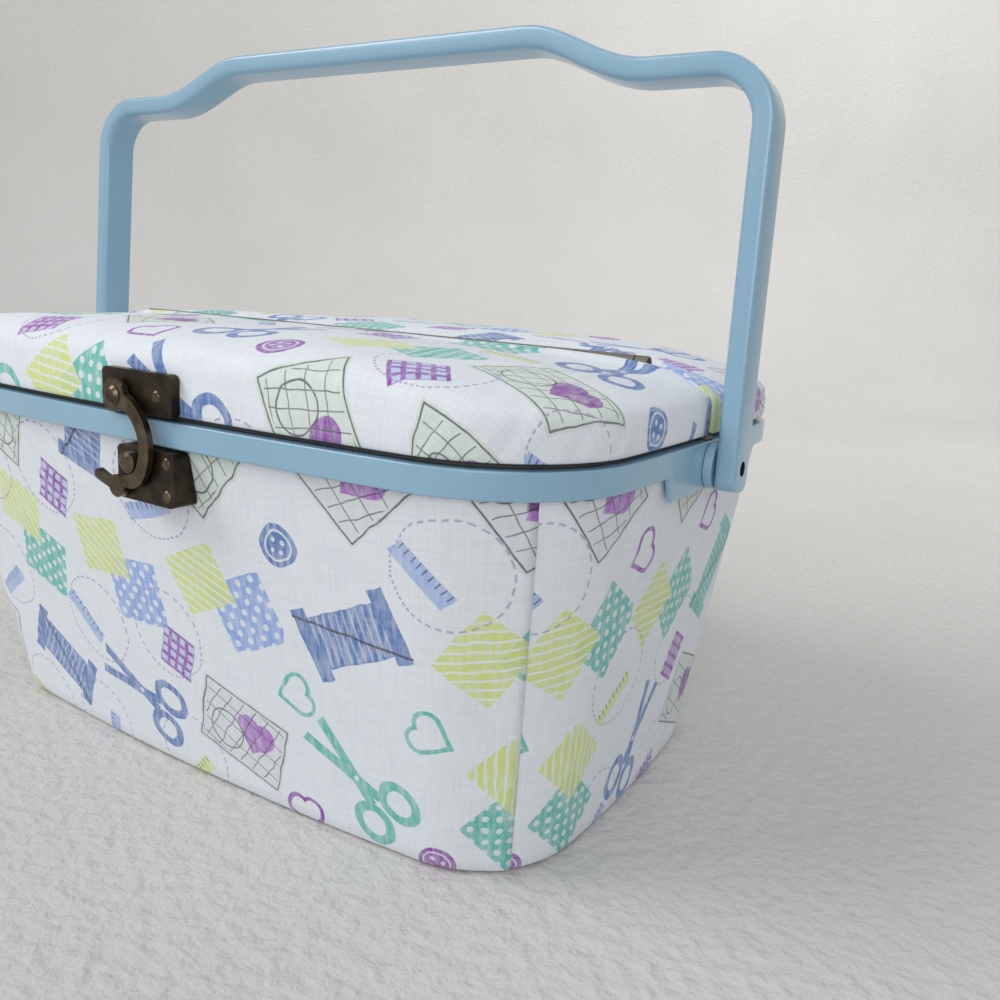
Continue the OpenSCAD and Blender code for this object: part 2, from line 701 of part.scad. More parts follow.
module to_rear() { rotate([0, 0, 180]) children(); }
module rear_lid_frame() { to_rear() lid_frame(); }
module rear_lid_knuckles() { to_rear() lid_knuckles(); }
module rear_lid_pad() { to_rear() lid_pad(); }
module rear_lid_lining() { to_rear() lid_lining(); }
module rear_hook_plate() { to_rear() hook_plate(); }
module rear_plate_rivet() { to_rear() plate_rivet_piece(); }
module rear_hook_rivet() { to_rear() hook_rivet(); }
module rear_hook() { to_rear() hook(); }

wall_board();
base_board();
fabric_front();
fabric_rear();
fabric_right_end();
fabric_left_end();
fabric_base();
lining_wall();
lining_base();
rim_band();
spine();
spine_knuckles();
hinge_end_posts();
hinge_rod();
pivot_washers();
pivot_pins();
keeper_plates();
keeper_studs();
keeper_rivets();
handle();
front_lid_frame();
front_lid_knuckles();
front_lid_pad();
front_lid_lining();
front_hook_plate();
front_plate_rivet();
front_hook_rivet();
front_hook();
rear_lid_frame();
rear_lid_knuckles();
rear_lid_pad();
rear_lid_lining();
rear_hook_plate();
rear_plate_rivet();
rear_hook_rivet();
rear_hook();
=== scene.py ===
# %% [markdown]
# # A fabric-covered sewing carrier with two padded lids
# The real thing is a tapered board box wrapped in printed cotton, capped by a moulded sky-blue band.
# Two padded lids hinge on one rod across the middle, each with a bronzed swing hook, and a bail handle
# swings over them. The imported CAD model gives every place, so the first step is to load it as a frame.

# %% Load the frame
import bpy
import bmesh
import math
from mathutils import Matrix, Vector, noise


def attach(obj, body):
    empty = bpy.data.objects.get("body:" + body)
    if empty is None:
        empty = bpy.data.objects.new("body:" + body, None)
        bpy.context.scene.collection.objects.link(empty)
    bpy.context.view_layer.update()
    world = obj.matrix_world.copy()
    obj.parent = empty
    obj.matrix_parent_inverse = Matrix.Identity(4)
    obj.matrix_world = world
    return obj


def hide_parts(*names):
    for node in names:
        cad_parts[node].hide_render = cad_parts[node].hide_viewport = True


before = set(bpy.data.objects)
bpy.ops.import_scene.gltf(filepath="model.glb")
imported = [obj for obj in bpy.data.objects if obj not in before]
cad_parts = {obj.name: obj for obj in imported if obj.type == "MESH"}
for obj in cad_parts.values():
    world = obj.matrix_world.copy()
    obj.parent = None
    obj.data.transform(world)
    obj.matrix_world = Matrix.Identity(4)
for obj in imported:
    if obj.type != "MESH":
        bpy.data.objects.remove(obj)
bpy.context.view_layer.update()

MM = 0.001
print("nodes in the frame:", len(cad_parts))

# %% [markdown]
# ## Camera
# The photo was taken from the front right, a little above the lids, with the camera tipped slightly. It
# could be aimed at a target, but a target can't tip it, so the three measured angles are turned into a
# rotation matrix. The lens follows from the focal length in pixels of a frame 1000 pixels wide.

# %% Camera
VIEW_PLACE = (0.2470, -0.2903, 0.1806)
VIEW_YAW, VIEW_PITCH, VIEW_ROLL = -0.539, -0.2293, 0.0619
FOCAL_PX, FRAME_PX, SENSOR_MM = 902.49, 1000, 36
camera_data = bpy.data.cameras.new("view")
camera_data.sensor_width = SENSOR_MM
camera_data.lens = FOCAL_PX / FRAME_PX * SENSOR_MM
camera_data.clip_start = 0.01
camera = bpy.data.objects.new("view", camera_data)
bpy.context.collection.objects.link(camera)
bpy.context.scene.camera = camera
ahead = Vector((math.sin(VIEW_YAW) * math.cos(VIEW_PITCH), math.cos(VIEW_YAW) * math.cos(VIEW_PITCH),
                math.sin(VIEW_PITCH)))
level_right = ahead.cross(Vector((0, 0, 1))).normalized()
level_up = level_right.cross(ahead)
right = level_right * math.cos(VIEW_ROLL) + level_up * math.sin(VIEW_ROLL)
up = level_up * math.cos(VIEW_ROLL) - level_right * math.sin(VIEW_ROLL)
turn = Matrix((right, up, -ahead)).transposed().to_4x4()
camera.matrix_world = Matrix.Translation(VIEW_PLACE) @ turn
print("lens in mm:", round(camera_data.lens, 2))

# %% [markdown]
# ## Numbers for shader trees
# Prints and weaves are drawn with arithmetic on the cloth's own coordinates. A small class that lets
# sockets be added and multiplied like numbers keeps those drawings readable: each sign makes one Math
# node. Distances are in millimetres, and a mask is 1 inside a shape and 0 outside it.


# %% A socket that does sums
def feed(tree, slot, value):
    """Links an output to a node's input, or gives the input a plain value."""
    if isinstance(value, Wire):
        value = value.socket
    if isinstance(value, bpy.types.NodeSocket):
        tree.links.new(value, slot)
    else:
        slot.default_value = value


class Wire:
    """The output of a shader node, used like a number."""

    def __init__(self, tree, socket):
        self.tree = tree
        self.socket = socket

    def op(self, kind, *others, clamp=False):
        node = self.tree.nodes.new("ShaderNodeMath")
        node.operation = kind
        node.use_clamp = clamp
        for slot, value in zip(node.inputs, (self, *others)):
            feed(self.tree, slot, value)
        return Wire(self.tree, node.outputs[0])

    def __add__(self, other):
        return self.op("ADD", other)

    def __sub__(self, other):
        return self.op("SUBTRACT", other)

    def __mul__(self, other):
        return self.op("MULTIPLY", other)

    def __abs__(self):
        return self.op("ABSOLUTE")

    def plus(self, factor, shift, clamp=False):
        """This number times a factor, and a shift added."""
        return self.op("MULTIPLY_ADD", factor, shift, clamp=clamp)

    def most(self, other):
        """The larger number: of two distances, the shape that both share."""
        return self.op("MAXIMUM", other)

    def least(self, other):
        """The smaller number: of two distances, both shapes together."""
        return self.op("MINIMUM", other)

    def inside(self, soft=0.3):
        """Mask of the points where this distance is negative."""
        return self.plus(-1 / soft, 0.5, clamp=True)

    def wave(self, period):
        """Distance from the nearest gap between stripes, from 0 to half the period."""
        return self.op("PINGPONG", period / 2)


def new_group(name, inputs, outputs):
    """A shader node group with named sockets, and its input and output nodes."""
    group = bpy.data.node_groups.new(name, "ShaderNodeTree")
    for label, kind, value in inputs:
        socket = group.interface.new_socket(name=label, in_out="INPUT", socket_type=kind)
        if value is not None:
            socket.default_value = value
    for label, kind in outputs:
        group.interface.new_socket(name=label, in_out="OUTPUT", socket_type=kind)
    return group, group.nodes.new("NodeGroupInput"), group.nodes.new("NodeGroupOutput")


def blend_colour(tree, mask, below, above):
    """Lays the colour above over the colour below where the mask says so."""
    node = tree.nodes.new("ShaderNodeMix")
    node.data_type = "RGBA"
    factor_slot, below_slot, above_slot, colour_output = 0, 6, 7, 2
    for slot, value in ((factor_slot, mask), (below_slot, below), (above_slot, above)):
        feed(tree, node.inputs[slot], (*value, 1) if isinstance(value, tuple) else value)
    return Wire(tree, node.outputs[colour_output])


def noise_of(tree, vector, scale, detail):
    """Soft blotches from 0 to 1, smaller where the scale is larger."""
    node = tree.nodes.new("ShaderNodeTexNoise")
    feed(tree, node.inputs["Scale"], scale)
    node.inputs["Detail"].default_value = detail
    tree.links.new(vector, node.inputs["Vector"])
    return Wire(tree, node.outputs["Fac"])


print("cloth is drawn in millimetres:", MM, "m each")


# %% [markdown]
# ## Weave
# Plain cotton is over-and-under threads about half a millimetre apart, with thicker threads, or slubs,
# here and there. A picture of cloth would repeat and blur, so two crossed sine waves give the threads
# and noise stretched along each direction gives the slubs. Both cottons use it, so it is a group.

# %% Weave group
THREAD_MM = 0.55
SLUB_SCALE, SLUB_STRETCH = 1100, 0.06


def make_weave():
    group, given, result = new_group(
        "plain_weave", [("Cloth", "NodeSocketVector", None)],
        [("Height", "NodeSocketFloat"), ("Slub", "NodeSocketFloat")])
    split = group.nodes.new("ShaderNodeSeparateXYZ")
    group.links.new(given.outputs["Cloth"], split.inputs[0])
    across = Wire(group, split.outputs[0]) * (1 / MM)
    along = Wire(group, split.outputs[1]) * (1 / MM)
    warp = (across * (2 * math.pi / THREAD_MM)).op("SINE")
    weft = (along * (2 * math.pi / THREAD_MM)).op("SINE")
    slubs = []
    for stretch in ((1, SLUB_STRETCH, 1), (SLUB_STRETCH, 1, 1)):
        mapping = group.nodes.new("ShaderNodeMapping")
        mapping.inputs["Scale"].default_value = stretch
        group.links.new(given.outputs["Cloth"], mapping.inputs["Vector"])
        slubs.append(noise_of(group, mapping.outputs[0], SLUB_SCALE, 1))
    slub = (slubs[0] + slubs[1]) * 0.5
    height = (warp * weft) * 0.25 + slub
    group.links.new(height.socket, result.inputs["Height"])
    group.links.new(slub.socket, result.inputs["Slub"])
    return group


weave_group = make_weave()
print("weave nodes:", len(weave_group.nodes))

# %% [markdown]
# ## Print
# The cloth is off-white with a scattered haberdashery print in teal, denim blue, violet and lime. It is
# drawn on a grid of cells: random numbers per cell choose a motif, turn it and shift it, so the pattern
# never lines up. A picture file could hold it, but drawn by nodes it stays sharp at any distance.

# %% Print colours
GROUND = (0.80, 0.84, 0.88)
TEAL = (0.10, 0.50, 0.42)
DENIM = (0.09, 0.19, 0.48)
SKY = (0.26, 0.40, 0.78)
VIOLET = (0.28, 0.05, 0.40)
ORCHID = (0.42, 0.16, 0.56)
LIME = (0.66, 0.76, 0.22)
INK = (0.035, 0.035, 0.045)
PAPER = (0.62, 0.64, 0.66)
LEAF = (0.55, 0.68, 0.50)
LILAC = (0.38, 0.33, 0.52)
print("print colours: 10 and the ground")

# %% [markdown]
# ## Motifs
# The motifs are sewing things: patches with dots, stripes and checks, sketched pattern pieces, spools,
# scissors, buttons, hearts and tape measures. Each is a few distances joined together: the smaller of
# two distances joins two shapes, the larger keeps what they share, and a mask cuts the sum off at zero.


# %% Shapes of the motifs
HALF_ROOT = 0.7071  # half the diagonal of a unit square


def box_shape(x, y, half_w, half_h):
    """Negative inside a box round the origin."""
    return (abs(x) - half_w).most(abs(y) - half_h)


def distance(x, y):
    """How far a place is from the origin."""
    place = x.tree.nodes.new("ShaderNodeCombineXYZ")
    x.tree.links.new(x.socket, place.inputs[0])
    x.tree.links.new(y.socket, place.inputs[1])
    size = x.tree.nodes.new("ShaderNodeVectorMath")
    size.operation = "LENGTH"
    x.tree.links.new(place.outputs[0], size.inputs[0])
    return Wire(x.tree, size.outputs["Value"])


def heart(x, y, size):
    """Negative inside a heart: a square on its corner with a circle on each upper side."""
    side = abs(x)
    square = (side + abs(y)).plus(HALF_ROOT, -HALF_ROOT * size)
    lobe = distance(side - size / 2, y - size / 2) - HALF_ROOT * size
    return square.least(lobe)


def patch_pair(x, y):
    """A dotted patch under a striped one. Every motif gives its body, detail, bare parts and ink lines."""
    dotted = box_shape(x - 7, y + 7, 13, 12).inside()
    striped = box_shape(x + 7.5, y - 8, 12, 10.5).inside()
    rising, falling = x + y, y - x
    dots = (distance(rising.wave(6.4), falling.wave(6.4)) - 1.7).inside() * (dotted - striped)
    gaps = (rising.wave(4.4) - 0.6).inside() * striped
    return dotted, striped, dots.most(gaps), None


def sketch_panel(x, y):
    """A sheet with a ruled grid, a ring and a heart on it."""
    sheet = box_shape(x, y, 20, 15)
    ruled = ((y * -0.35 + x).wave(5.6) - 0.2).least((x * 0.15 + y).wave(6.8) - 0.18)
    ring = abs(distance(x + 7, y + 3) - 7.5) - 0.3
    lines = ruled.least(ring).most(sheet + 2.4).least(abs(sheet + 1.2) - 0.3)
    return sheet.inside() * 0.5, heart(x - 6, y - 1, 7).inside(), None, lines.inside()


def spool(x, y):
    """A thread spool seen from the side, with a needle across it."""
    ends = box_shape(x, abs(y) - 16, 12.5, 2.8)
    core = box_shape(x, y, 9, 14)
    thread = ((x * 0.12 + y).wave(2.7) - 0.35).most(core + 0.6).inside(0.5) * 0.55
    needle = (abs(x * 0.86 - y * 0.5) - 0.45).most(abs(x * 0.5 + y * 0.86) - 22).inside()
    return ends.least(core).inside(), None, thread, needle


def scissors(x, y):
    """Two blades that cross at a screw, with finger rings below."""
    side = abs(x)
    rings = abs(distance(side - 7.5, y.plus(0.8, 12)) - 5.6) - 1.5
    blades = (abs(side * 0.97 - abs(y) * 0.24) - 1.9).most(abs(y - 6) - 16)
    return rings.least(blades).inside(), None, (distance(x, y) - 1.1).inside(), None


def button(x, y):
    """A disc with a ring and four holes."""
    far = distance(x, y)
    holes = distance(abs(x) - 1.7, abs(y) - 1.7) - 0.8
    return (far - 7).inside(), None, (abs(far - 4.9) - 0.35).least(holes).inside(), None


def outlined_heart(x, y):
    return (abs(heart(x, y, 6.2)) - 0.8).inside(), None, None, None


def check_patch(x, y):
    """A small patch with crossed bars."""
    sheet = box_shape(x, y, 8.5, 7.5)
    bars = (x.wave(4) - 0.75).least(y.wave(4) - 0.75).most(sheet)
    return sheet.inside() * 0.5, bars.inside(), None, None


def tape(x, y):
    """A short piece of tape measure with ticks along one edge."""
    strip = box_shape(x, y, 11, 3)
    ticks = (x.wave(2.4) - 0.22).most(strip).most(abs(y - 1.6) - 1.2)
    return strip.inside() * 0.8, None, None, ticks.inside()


LARGE_MOTIFS = (patch_pair, sketch_panel, spool, scissors)
SMALL_MOTIFS = (button, outlined_heart, check_patch, tape)
print("motifs:", len(LARGE_MOTIFS) + len(SMALL_MOTIFS))

# %% [markdown]
# ## Grid of cells
# A printer's roller repeats, but here each cell of a grid throws its own dice. White noise of the cell's
# whole number gives a random number that stays put, and that number chooses, turns and shifts a motif.
# Joining every motif would make hundreds of nodes, so each layer is added up before it is coloured.


# %% Helpers for the print
CELL_MM = 52
SPIN_SEED, SPIN_RANGE = 37, 2.6
LINE_STRENGTH = 0.85


def vector_sum(tree, kind, first, *others):
    """One Vector Math node, on sockets and plain triples."""
    node = tree.nodes.new("ShaderNodeVectorMath")
    node.operation = kind
    for slot, value in zip(node.inputs, (first, *others)):
        feed(tree, slot, value)
    return node.outputs[0]


def in_cell(tree, place, size, shift, seed, jitter):
    """Coordinates inside a cell of a grid, turned and shifted at random, and a random pick."""
    grid = vector_sum(tree, "MULTIPLY_ADD", place, (1 / size, 1 / size, 0), (shift, shift, seed))
    dice = tree.nodes.new("ShaderNodeTexWhiteNoise")
    dice.noise_dimensions = "3D"
    tree.links.new(vector_sum(tree, "FLOOR", grid), dice.inputs["Vector"])
    reach = jitter / size
    nudge = vector_sum(tree, "MULTIPLY_ADD", dice.outputs["Color"], (reach, reach, 0),
                       (-0.5 - reach / 2,) * 3)
    local = vector_sum(tree, "ADD", vector_sum(tree, "FRACTION", grid), nudge)
    spin = tree.nodes.new("ShaderNodeVectorRotate")
    spin.rotation_type = "Z_AXIS"
    tree.links.new(vector_sum(tree, "MULTIPLY", local, (size,) * 3), spin.inputs["Vector"])
    pick = Wire(tree, dice.outputs["Value"])
    angle = (pick * SPIN_SEED).op("FRACT").plus(SPIN_RANGE, -SPIN_RANGE / 2)
    tree.links.new(angle.socket, spin.inputs["Angle"])
    split = tree.nodes.new("ShaderNodeSeparateXYZ")
    tree.links.new(spin.outputs[0], split.inputs[0])
    return Wire(tree, split.outputs[0]), Wire(tree, split.outputs[1]), pick


def swatches(tree, pick, colours):
    """One flat colour out of a row, chosen by a number from 0 to 1."""
    node = tree.nodes.new("ShaderNodeValToRGB")
    ramp = node.color_ramp
    ramp.interpolation = "CONSTANT"
    while len(ramp.elements) < len(colours):
        ramp.elements.new(0.5)
    for i, colour in enumerate(colours):
        ramp.elements[i].position = i / len(colours)
        ramp.elements[i].color = (*colour, 1)
    tree.links.new(pick.socket, node.inputs["Fac"])
    return Wire(tree, node.outputs["Color"])


def stamp(tree, colour, pick, motifs, bodies, details, strength):
    """Lays one motif out of a list over the cloth's colour; each layer is added up over the list first."""
    count = len(motifs)
    layers = [None] * 4
    for i, motif in enumerate(motifs):
        chosen = pick.op("COMPARE", (i + 0.5) / count, 0.5 / count)
        for k, mask in enumerate(motif):
            if mask is None:
                continue
            if layers[k] is None:
                layers[k] = mask * chosen
            else:
                layers[k] = mask.op("MULTIPLY_ADD", chosen, layers[k])
    inks = [swatches(tree, pick, bodies), swatches(tree, pick, details) if details else VIOLET, GROUND, INK]
    weights = [strength, strength, LINE_STRENGTH, LINE_STRENGTH]
    for mask, ink, weight in zip(layers, inks, weights):
        if mask is not None:
            colour = blend_colour(tree, mask * weight, colour, ink)
    return colour


print("cell of the print in mm:", CELL_MM)

# %% [markdown]
# ## The printed cloth
# The real print has hand-drawn outlines that wander, brushed colour that is stronger in streaks, and
# small motifs between the large ones. So the place on the cloth is bent by a soft noise, a second noise
# stretched on the slant weakens the colour, and two grids of cells lie over each other, half a cell out
# of step, with dashed rings of running stitch under the small one.


# %% Print group
def make_print():
    group, given, result = new_group(
        "haberdashery_print", [("Cloth", "NodeSocketVector", None)], [("Colour", "NodeSocketColor")])
    bend = noise_of(group, given.outputs["Cloth"], 130, 1)
    millimetres = vector_sum(group, "MULTIPLY", given.outputs["Cloth"], (1 / MM, 1 / MM, 0))
    place = vector_sum(group, "MULTIPLY_ADD", bend.socket, (2.0, -1.6, 0), millimetres)
    streaks = group.nodes.new("ShaderNodeMapping")
    streaks.inputs["Scale"].default_value = (1, 0.22, 1)
    streaks.inputs["Rotation"].default_value = (0, 0, 0.6)
    group.links.new(given.outputs["Cloth"], streaks.inputs["Vector"])
    wash = noise_of(group, streaks.outputs[0], 520, 2)
    strength = wash.plus(2.4, -0.42, clamp=True).plus(0.62, 0.38)
    colour = blend_colour(group, bend * 0.5, GROUND, (0.72, 0.76, 0.84))

    x, y, pick = in_cell(group, place, CELL_MM, 0.0, 1.0, 4)
    colour = stamp(group, colour, pick, [motif(x, y) for motif in LARGE_MOTIFS],
                   [SKY, TEAL, LEAF, PAPER, DENIM, TEAL, DENIM, TEAL],
                   [LIME, LIME, VIOLET, ORCHID, LIME, LIME, LIME, LIME], strength)

    x, y, pick = in_cell(group, place, CELL_MM, 0.5, 2.0, 5)
    ring = abs(distance(x - 5, y - 6) - 17) - 0.35
    stitches = ((x.op("ARCTAN2", y) * 6).op("FRACT") - 0.6).inside(0.05)
    dashes = ring.inside() * stitches * pick.op("GREATER_THAN", 0.5)
    colour = blend_colour(group, dashes * 0.8, colour, LILAC)
    colour = stamp(group, colour, pick, [motif(x, y) for motif in SMALL_MOTIFS],
                   [VIOLET, DENIM, TEAL, VIOLET, ORCHID, SKY, SKY, LIME], None, strength)
    group.links.new(colour.socket, result.inputs["Colour"])
    return group


print_group = make_print()
print("print nodes:", len(print_group.nodes))

# %% [markdown]
# ## Cotton
# The box wears printed cotton outside and plain cotton inside. Both are a Principled BSDF with the weave
# in its bump and its roughness, and a little sheen for the loose fibres. They read the piece's own cloth
# map and not the place in space, so the print follows each panel's folds and its grain.


# %% Materials of cloth
WORN_COTTON, PLAIN_SHADE = (0.60, 0.62, 0.66), 0.92


def new_material(name):
    """A material with its node tree and its Principled BSDF."""
    material = bpy.data.materials.new(name)
    material.use_nodes = True
    tree = material.node_tree
    return material, tree, tree.nodes["Principled BSDF"]


def place_group(tree, group):
    """A node in a material that stands for a whole group."""
    node = tree.nodes.new("ShaderNodeGroup")
    node.node_tree = group
    return node


def add_bump(tree, shader, height, depth, strength=1.0):
    """Small relief that only bends the light."""
    bump = tree.nodes.new("ShaderNodeBump")
    bump.inputs["Distance"].default_value = depth
    bump.inputs["Strength"].default_value = strength
    tree.links.new(height.socket, bump.inputs["Height"])
    tree.links.new(bump.outputs[0], shader.inputs["Normal"])


def cloth_material(name, plain=None):
    """Cotton in one plain colour, or printed where no colour is given."""
    material, tree, shader = new_material(name)
    map_node = tree.nodes.new("ShaderNodeUVMap")
    map_node.uv_map = "cloth"
    weave = place_group(tree, weave_group)
    tree.links.new(map_node.outputs[0], weave.inputs["Cloth"])
    slub = Wire(tree, weave.outputs["Slub"])
    if plain is None:
        drawing = place_group(tree, print_group)
        tree.links.new(map_node.outputs[0], drawing.inputs["Cloth"])
        colour = Wire(tree, drawing.outputs["Colour"])
    else:
        soft = noise_of(tree, map_node.outputs[0], 60, 3)
        colour = blend_colour(tree, soft, plain, tuple(PLAIN_SHADE * c for c in plain))
    worn = blend_colour(tree, (slub - 0.42) * 1.2, colour, WORN_COTTON)
    tree.links.new(worn.socket, shader.inputs["Base Color"])
    rough = slub * 0.2 + 0.72
    tree.links.new(rough.socket, shader.inputs["Roughness"])
    shader.inputs["Sheen Weight"].default_value = 0.15
    shader.inputs["Specular IOR Level"].default_value = 0.3
    add_bump(tree, shader, Wire(tree, weave.outputs["Height"]), 0.00012, 0.7)
    return material


printed_cotton = cloth_material("printed_cotton")
plain_cotton = cloth_material("plain_cotton", (0.74, 0.76, 0.78))
print("cloth materials:", printed_cotton.name, plain_cotton.name)

# %% [markdown]
# ## Clouded finish
# Moulded plastic, plated metal and pressed board are never one flat colour: each drifts between two
# tones, its gloss drifts with it, and its surface is a little uneven. One group of nodes holds the two
# noises for that, a broad one and a fine one, and each material places it with values of its own.


# %% Clouded finish group
FINE_STEP = 18  # how many times finer the second noise is


def make_clouded_finish():
    group, given, result = new_group(
        "clouded_finish",
        [("Place", "NodeSocketVector", None), ("Cloud Scale", "NodeSocketFloat", 40.0),
         ("First Colour", "NodeSocketColor", None), ("Second Colour", "NodeSocketColor", None),
         ("Least Roughness", "NodeSocketFloat", 0.3), ("Roughness Span", "NodeSocketFloat", 0.1)],
        [("Colour", "NodeSocketColor"), ("Roughness", "NodeSocketFloat"), ("Height", "NodeSocketFloat")])
    place = given.outputs["Place"]
    scale, first, second, least, span = (Wire(group, given.outputs[label]) for label in (
        "Cloud Scale", "First Colour", "Second Colour", "Least Roughness", "Roughness Span"))
    cloud = noise_of(group, place, scale, 4)
    fine = noise_of(group, place, scale * FINE_STEP, 2)
    colour = blend_colour(group, (cloud - 0.3) * 2, first, second)
    roughness = fine * span + cloud * 0.06 + least
    height = cloud * 0.6 + fine * 0.4
    for label, wire in (("Colour", colour), ("Roughness", roughness), ("Height", height)):
        group.links.new(wire.socket, result.inputs[label])
    return group


clouded_group = make_clouded_finish()
print("clouded finish nodes:", len(clouded_group.nodes))

# %% [markdown]
# ## Plastic, metal and board
# The band, handle and washers are glossy sky-blue plastic. The hinge parts are taupe plastic, made dark as
# painted shade for the valley between the lids, and the lid frames are near-black plastic as painted shade
# for the gap under the lids' hem. The latches are steel plated an antique bronze, brighter where the plating
# is rubbed, and the box itself is board. The pivot pins are near-black steel, painted shade for the holes
# they sit in. They read Object coordinates, because every piece sits at the origin, and so need no map.


# %% Materials of plastic, metal and board
def solid_material(name, colours, scale, rough, bump, metallic=0.0, coat=0.0):
    """A finish that drifts between two colours and two roughnesses."""
    material, tree, shader = new_material(name)
    place = tree.nodes.new("ShaderNodeTexCoord")
    finish = place_group(tree, clouded_group)
    tree.links.new(place.outputs["Object"], finish.inputs["Place"])
    values = {"Cloud Scale": scale, "First Colour": (*colours[0], 1), "Second Colour": (*colours[1], 1),
              "Least Roughness": rough[0], "Roughness Span": rough[1] - rough[0]}
    for label, value in values.items():
        finish.inputs[label].default_value = value
    tree.links.new(finish.outputs["Colour"], shader.inputs["Base Color"])
    tree.links.new(finish.outputs["Roughness"], shader.inputs["Roughness"])
    shader.inputs["Metallic"].default_value = metallic
    shader.inputs["Coat Weight"].default_value = coat
    shader.inputs["Coat Roughness"].default_value = 0.14
    add_bump(tree, shader, Wire(tree, finish.outputs["Height"]), bump)
    return material


blue_plastic = solid_material("sky_blue_plastic", ((0.245, 0.42, 0.555), (0.27, 0.45, 0.585)), 30,
                              (0.24, 0.36), 0.00006, coat=0.6)
# Taupe darkened almost to brown-black: painted shade for the valley between the lids, where the hinge shows.
taupe_hinge_shade_plastic = solid_material("taupe_hinge_shade_plastic", ((0.17, 0.153, 0.13), (0.14, 0.127, 0.108)), 40,
                               (0.4, 0.55), 0.00008)
# Near black: painted shade for the gap under each lid's hem, where the frame shows.
frame_shade_plastic = solid_material("frame_painted_shade_plastic", ((0.05, 0.047, 0.045), (0.075, 0.07, 0.065)), 40,
                               (0.5, 0.65), 0.00008)
bronze = solid_material("antique_bronze", ((0.020, 0.016, 0.013), (0.085, 0.060, 0.036)), 190,
                        (0.22, 0.42), 0.00012, metallic=0.85)
bright_bronze = solid_material("rubbed_bronze", ((0.045, 0.034, 0.024), (0.21, 0.155, 0.095)), 160,
                               (0.16, 0.34), 0.0001, metallic=0.9)
steel = solid_material("drawn_steel", ((0.30, 0.30, 0.31), (0.42, 0.42, 0.43)), 220,
                       (0.3, 0.45), 0.00005, metallic=0.95)
# Near black: painted shade for the pivot holes, on the pins sunk in them and on the holes' walls.
pin_and_hole_shade_steel = solid_material("pin_and_hole_painted_shade", ((0.03, 0.03, 0.035), (0.06, 0.06, 0.065)), 220,
                            (0.35, 0.5), 0.00005, metallic=0.8)
board = solid_material("pressed_board", ((0.50, 0.39, 0.26), (0.60, 0.48, 0.34)), 90, (0.75, 0.9), 0.0002)
print("solid materials made")

# %% [markdown]
# ## Pieces that only need a finish
# The board shell and base, the lid frames and the hinge rod are hidden or nearly so. The frame's own
# meshes are good enough there, so they stay and are only given a material.


# %% Materials on the frame's own pieces
def dress(names, material):
    for name in names:
        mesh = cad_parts[name].data
        mesh.materials.clear()
        mesh.materials.append(material)


dress(["wall_board", "base_board"], board)
# The frames show only in the gap under the lids' hem, and their near black is painted shade there.
dress(["front_lid_frame", "rear_lid_frame"], frame_shade_plastic)
dress(["hinge_rod"], steel)
print("pieces dressed: 5")

# %% [markdown]
# ## Moulded and pressed pieces
# The frame's rigid pieces have the right shape but sharp edges, and a real moulding or pressing always
# catches the light along a small radius. They could be modelled again, but a copy keeps the shape exact:
# each mesh is merged, its flat faces joined, its sharp edges bevelled, and the copy replaces the piece.


# %% Copies with rounded edges
def link_piece(mesh, name, material, body, slot, *stands_for):
    """Makes an object of a mesh and says what it rides on, wears and stands for."""
    mesh.materials.clear()
    mesh.materials.append(material)
    piece = bpy.data.objects.new(name, mesh)
    bpy.context.collection.objects.link(piece)
    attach(piece, body)
    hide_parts(*stands_for)
    return piece


def smooth_by_angle(mesh, degrees):
    for face in mesh.polygons:
        face.use_smooth = True
    mesh.set_sharp_from_angle(angle=math.radians(degrees))


FLAT_DEG, SHARP_DEG, SMOOTH_DEG = 0.4, 28, 35


def rounded_copy(node, name, material, body, slot, radius):
    """A copy of a node with its sharp edges rounded to a radius in millimetres."""
    bm = bmesh.new()
    bm.from_mesh(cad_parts[node].data)
    bmesh.ops.remove_doubles(bm, verts=bm.verts, dist=0.002 * MM)
    bmesh.ops.dissolve_limit(bm, angle_limit=math.radians(FLAT_DEG), verts=bm.verts, edges=bm.edges)
    edges = [e for e in bm.edges if len(e.link_faces) == 2 and e.calc_face_angle(0) > math.radians(SHARP_DEG)]
    bmesh.ops.bevel(bm, geom=edges, offset=radius * MM, offset_type="OFFSET", segments=3, profile=0.5,
                    affect="EDGES", clamp_overlap=True, material=-1)
    mesh = bpy.data.meshes.new(name)
    bm.to_mesh(mesh)
    bm.free()
    smooth_by_angle(mesh, SMOOTH_DEG)
    piece = link_piece(mesh, name, material, body, slot, node)
    piece.modifiers.new("flat faces stay flat", "WEIGHTED_NORMAL").keep_sharp = True
    return piece


# Each row: the node, the new name, the finish, the body it rides on, its slot and the edge's radius.
# The hinge rows wear the taupe made dark as painted shade for the valley between the lids.
ROUNDED = [
    ("rim_band", "rim_band_moulding", blue_plastic, "box", "blue_plastic", 0.55),
    ("pivot_washers", "pivot_washer_pair", blue_plastic, "box", "blue_plastic", 0.4),
    ("pivot_pins", "pivot_pin_pair", pin_and_hole_shade_steel, "box", "steel", 0.25),
    ("spine", "spine_beam", taupe_hinge_shade_plastic, "box", "cream_plastic", 0.5),
    ("spine_knuckles", "spine_barrels", taupe_hinge_shade_plastic, "box", "cream_plastic", 0.25),
    ("hinge_end_posts", "hinge_posts", taupe_hinge_shade_plastic, "box", "cream_plastic", 0.4),
    ("keeper_plates", "keeper_pressings", bronze, "box", "bronzed_metal", 0.35),
    ("keeper_studs", "keeper_stud_pair", bright_bronze, "box", "bronzed_metal", 0.3),
    ("keeper_rivets", "keeper_rivet_heads", bright_bronze, "box", "bronzed_metal", 0.15),
]
